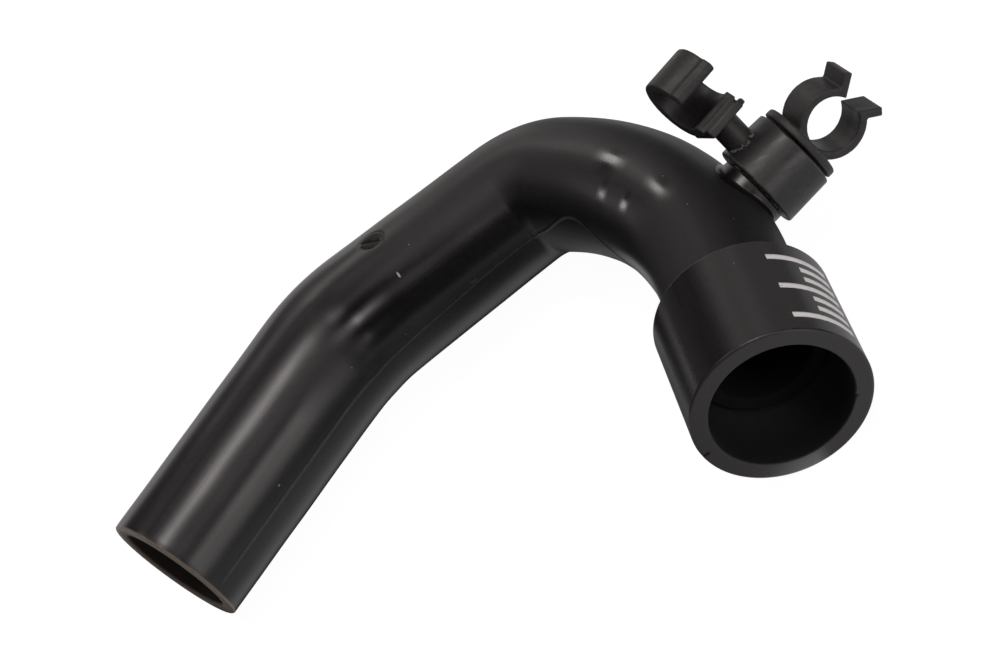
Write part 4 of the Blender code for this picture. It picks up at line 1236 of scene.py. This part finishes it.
# %% Clip outlines
def c_outline(inner_r, outer_r, right_end, left_end=None, steps=60):
    """C that opens along +Y; right_end lists its right end, inner side first, left_end outer side first."""
    left_end = left_end or [(-x, y) for x, y in reversed(right_end)]

    def arc(radius, first, last):
        start, end = math.atan2(*first), math.atan2(*last) % (2 * math.pi)
        turns = [start + (end - start) * k / steps for k in range(1, steps)]
        return [(radius * math.sin(t), radius * math.cos(t)) for t in turns]

    outer = arc(outer_r, right_end[-1], left_end[0])
    inner = arc(inner_r, right_end[0], left_end[-1])
    return [*right_end, *outer, *left_end, *reversed(inner)]


def prism(outline, width):
    """Points and faces of an outline with a width, centred on its plane."""
    count = len(outline)
    points = [(x, y, z) for z in (-width / 2, width / 2) for x, y in outline]
    sides = [(i, (i + 1) % count, count + (i + 1) % count, count + i) for i in range(count)]
    return points, [*sides, tuple(range(count)), tuple(range(count, 2 * count))]


def box_shape(low, high):
    points = [(x, y, z) for x in (low[0], high[0]) for y in (low[1], high[1]) for z in (low[2], high[2])]
    return points, [(0, 1, 3, 2), (4, 5, 7, 6), (0, 1, 5, 4), (2, 3, 7, 6), (0, 2, 6, 4), (1, 3, 7, 5)]


def rod_shape(profile, count=64):
    """Turned solid about local Z from a (radius, height) profile that starts and ends on the axis."""
    points = turned_points(profile, round_angles(count), Matrix.Identity(4))
    return points, grid_faces(len(profile), count, False)


print("outline helpers ready")

# %% [markdown]
# ## Melting shapes together
#
# A moulded clip is one skin with small radii where its parts meet. Simple overlapping shapes are
# joined, a voxel remesh keeps only their common outside, and a few rounds of smoothing give the radii.
# This runs in the clip's own frame, so that its flat faces lie along the voxels and stay flat.

# %% Melt shapes
VOXEL, SMOOTHING = 0.17 * MM, 0.5
CLIP_WIDE, CLIP_TIGHT = 1.5 * MM, 0.3 * MM


def melted(name, shapes, rounds, frame_matrix, material):
    """One smooth skin round overlapping shapes, put in place by a matrix."""
    points, faces = [], []
    for shape_points, shape_faces in shapes:
        start = len(points)
        points.extend(tuple(p) for p in shape_points)
        faces.extend(tuple(start + i for i in face) for face in shape_faces)
    item = new_piece(name, points, faces, material)
    remesh = item.modifiers.new("skin", "REMESH")
    remesh.mode = "VOXEL"
    remesh.voxel_size = VOXEL
    soften = item.modifiers.new("soften", "SMOOTH")
    soften.factor = SMOOTHING
    soften.iterations = rounds
    bake_modifiers(item).transform(frame_matrix)
    mark_edges(item, wide=CLIP_WIDE, tight=CLIP_TIGHT)
    return item


print("melting keeps the common outside of overlapping shapes")

# %% [markdown]
# ## Cap clip
#
# The cap closes the swivel: a flange, a split plug that snaps into the spigot, and a thin springy C
# with two flat tips that flare out to guide a rod in.

# %% Cap clip
CAP_TURN, CAP_ROUNDS, FLANGE_COLUMNS = math.radians(-10.4), 12, 96
RING_IN, RING_OUT, RING_WIDTH, RING_CENTRE = 4.85 * MM, 6.35 * MM, 7.7 * MM, 17.55 * MM
TIP_FLARE, TIP_LENGTH, TIP_THICKNESS, HALF_GAP = math.radians(36.0), 4.5 * MM, 1.5 * MM, 1.75 * MM
FLANGE = metres((
    # radius, height, down to the tip of the plug
    (0.0, 12.4), (7.1, 12.4), (7.45, 12.3), (7.6, 12.1), (7.65, 11.8), (7.65, 10.8),
    (2.0, 10.8), (2.0, 5.2), (2.45, 4.6), (2.45, 3.4), (2.0, 2.8), (0.0, 2.8)))
corner = Vector((HALF_GAP, math.sqrt(RING_IN ** 2 - HALF_GAP ** 2)))
along = Vector((math.sin(TIP_FLARE), math.cos(TIP_FLARE)))
across = Vector((math.cos(TIP_FLARE), -math.sin(TIP_FLARE))) * TIP_THICKNESS
root = corner + across
ahead = root.dot(along)
meet = root + along * (math.sqrt(ahead ** 2 + RING_OUT ** 2 - root.length_squared) - ahead)
tip = corner + along * TIP_LENGTH
cap_end = [tuple(corner), tuple(tip), tuple(tip + across), tuple(meet)]
cap_outline = [(x, y + RING_CENTRE) for x, y in c_outline(RING_IN, RING_OUT, cap_end)]
ring_points, ring_faces = prism(cap_outline, RING_WIDTH)
ring_shape = [(x, -z, y) for x, y, z in ring_points], ring_faces
cap_frame = swivel_frame @ Matrix.Rotation(CAP_TURN, 4, "Z")
flange_shape = rod_shape(FLANGE, FLANGE_COLUMNS)
cap = melted("cap_snap_clip", (ring_shape, flange_shape), CAP_ROUNDS, cap_frame, clip_plastic)
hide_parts("cap_clip")
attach(cap, "cap")
print("cap clip of", len(cap.data.polygons), "faces")

# %% [markdown]
# ## Side clip
#
# The side clip is stouter: a C on a web and a base plate, and a round shank that is bonded into the
# sleeve. Its upper arm ends in a round lip with a shallow groove behind it, and its lower arm is cut
# short. A small nub on the plate is what is left of its own gate. First comes the outline of its C.

# %% Side clip outline
SIDE_IN, SIDE_OUT = 4.5 * MM, 6.4 * MM
LIP_R, HALF_MOUTH, LIP_STEPS = 1.15 * MM, 1.25 * MM, 18
ARM_CUT_OUT, ARM_CUT_IN, LIP_GROOVE, GROOVE_TURN = 3.5 * MM, 2.2 * MM, 0.45 * MM, 0.4
OUTSIDE_SLACK = 0.01 * MM
middle_r = (SIDE_IN + SIDE_OUT) / 2
bead_turn = math.asin((HALF_MOUTH + LIP_R) / middle_r)
bead = Vector((middle_r * math.sin(bead_turn), middle_r * math.cos(bead_turn)))


def bead_meets(radius):
    """Where the lip's bead crosses a circle round the clip's centre."""
    cosine = (middle_r ** 2 + radius ** 2 - LIP_R ** 2) / (2 * middle_r * radius)
    turn = bead_turn + math.acos(cosine)
    return Vector((radius * math.sin(turn), radius * math.cos(turn)))


start, end = bead_meets(SIDE_IN) - bead, bead_meets(SIDE_OUT) - bead
first = math.atan2(start.y, start.x)
sweep = (first - math.atan2(end.y, end.x)) % (2 * math.pi)
bead_turns = [first - sweep * k / LIP_STEPS for k in range(LIP_STEPS + 1)]
lip_end = [(bead.x + LIP_R * math.cos(t), bead.y + LIP_R * math.sin(t)) for t in bead_turns]
short_end = [(-math.sqrt(r ** 2 - rise ** 2), rise)
             for r, rise in ((SIDE_OUT, ARM_CUT_OUT), (SIDE_IN, ARM_CUT_IN))]
side_outline = []
for x, y in c_outline(SIDE_IN, SIDE_OUT, lip_end, short_end):
    past_lip = math.atan2(x, y) - bead_turn - 2.0 * math.asin(LIP_R / 2 / middle_r)
    pinch = 1.0
    if math.hypot(x, y) > SIDE_OUT - OUTSIDE_SLACK and past_lip > 0.0:
        pinch -= LIP_GROOVE / SIDE_OUT * math.exp(-(past_lip / GROOVE_TURN) ** 2)
    side_outline.append((x * pinch, y * pinch))
print("side clip outline of", len(side_outline), "points")

# %% [markdown]
# The other shapes are three blocks and the shank. They stand on the swivel's frame, turned to the clip's
# side and tilted a little.

# %% Side clip
SIDE_TURN, SIDE_TILT, SHANK_HEIGHT, SIDE_ROUNDS = math.radians(-21.0), math.radians(12.0), 4.3 * MM, 10
SIDE_CENTRE, PLATE_FOOT, SIDE_WIDTH, SIDE_SHIFT = 20.225 * MM, 12.725 * MM, 8.6 * MM, 0.55 * MM
SIDE_BLOCKS = (
    # two corners in mm: out from the plate's foot, across, along the rod
    ((0.3, -3.3, -4.15), (2.6, 3.3, 3.05)),     # web
    ((0.0, -3.5, -4.2), (1.4, 3.7, 3.6)),       # plate
    ((0.1, 2.2, 2.6), (1.2, 3.4, 4.5)),         # nub
)
SHANK = metres(((0.0, 6.3), (2.65, 6.3), (2.65, 13.1), (0.0, 13.1)))
side_points, side_faces = prism(side_outline, SIDE_WIDTH)
side_ring = [(x + SIDE_CENTRE, y, z - SIDE_SHIFT) for x, y, z in side_points], side_faces
web, plate, nub = (box_shape(*((PLATE_FOOT + x, y, z) for x, y, z in metres(block)))
                   for block in SIDE_BLOCKS)
shank_points, shank_faces = rod_shape(SHANK)
shank = [(z, y, -x) for x, y, z in shank_points], shank_faces
root_frame = (swivel_frame @ Matrix.Rotation(SIDE_TURN, 4, "Z")
              @ Matrix.Translation((0.0, 0.0, SHANK_HEIGHT)))
side_frame = root_frame @ Matrix.Rotation(SIDE_TILT, 4, "X")
side = melted("side_snap_clip", (side_ring, web, plate, shank, nub), SIDE_ROUNDS, side_frame, clip_plastic)
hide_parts("side_clip")
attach(side, "sleeve")
print("side clip of", len(side.data.polygons), "faces")

# %% [markdown]
# ## Flash at the shank's root
#
# Where the shank is bonded in, a crumpled bead of melt has come out at the front. Lumps of different
# sizes stand along the circle where shank and sleeve meet, each moved a little at random. They repeat
# along a path, so Geometry Nodes place them. A fixed seed gives the same lumps on every run.

# %% Flash at the shank's root
FLASH_R, FLASH_COUNT, FLASH_SEED, LUMP = 2.75 * MM, 24, 5, 0.42 * MM
FLASH_ARC, LUMP_SIZES, ROOT_R = (math.radians(30.0), math.radians(150.0)), (0.45, 1.25), 8.15 * MM
REACH_JITTER, TURN_JITTER, OUT_JITTER = (-0.15, 0.35), (-0.1, 0.1), (-0.2, 0.1)
flash_tree, given, way_out = new_tree("flash_bead", {
    "Lump": NUMBER, "Seed": "NodeSocketInt", "Finish": "NodeSocketMaterial"})
lump = add(flash_tree, "GeometryNodeMeshIcoSphere", {"Radius": given["Lump"], "Subdivisions": 2}).outputs[0]
size = add(flash_tree, "FunctionNodeRandomValue", {
    2: LUMP_SIZES[0], 3: LUMP_SIZES[1], "Seed": given["Seed"]}).outputs[1]
lumps = add(flash_tree, "GeometryNodeInstanceOnPoints", {
    "Points": given["Geometry"], "Instance": lump, "Scale": size}).outputs[0]
end_tree(flash_tree, lumps, given["Finish"], way_out)
crumple = np.random.default_rng(FLASH_SEED)
root_circle = []
for turn_now in np.linspace(*FLASH_ARC, FLASH_COUNT):
    reach = FLASH_R + crumple.uniform(*REACH_JITTER) * MM
    turn_now += crumple.uniform(*TURN_JITTER)
    sideways, along_axis = reach * math.sin(turn_now), reach * math.cos(turn_now)
    outward = math.sqrt(ROOT_R ** 2 - sideways ** 2) + crumple.uniform(*OUT_JITTER) * MM
    root_circle.append((outward, sideways, along_axis))
flash = new_piece("sleeve_flash", to_world(root_circle, root_frame), [], sleeve_plastic)
run_tree(flash, flash_tree, Lump=LUMP, Seed=FLASH_SEED, Finish=sleeve_plastic)
mark_edges(flash)
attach(flash, "sleeve")
screen(("sleeve_top_box", "sleeve_front_box"), sleeve, flash)
screen(("top_box",), sleeve, state="EXCLUDE")
print(len(flash.data.polygons), "faces in the flash bead")

# %% [markdown]
# ## Pieces that stay as they are
#
# Seal, snap ring and both washers are simple rings that hide inside the joints. Their CAD shapes are
# right, so they only get their finish.

# %% Pieces that stay
for name, material in (("collar_seal", seal_rubber), ("collar_snap_ring", ring_plastic),
                       ("lower_washer", washer_plastic), ("upper_washer", washer_plastic)):
    node_object = frame["nodes"][name]
    node_object.data.materials.clear()
    node_object.data.materials.append(material)
    print(name, "gets", material.name)

# %% [markdown]
#
# The visual model is meant to stay within the CAD model's box, so its box is printed beside the CAD box
# printed at the start.

bpy.context.view_layer.update()
visual_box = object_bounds()
print("visual box", [in_mm(corner) for corner in visual_box])
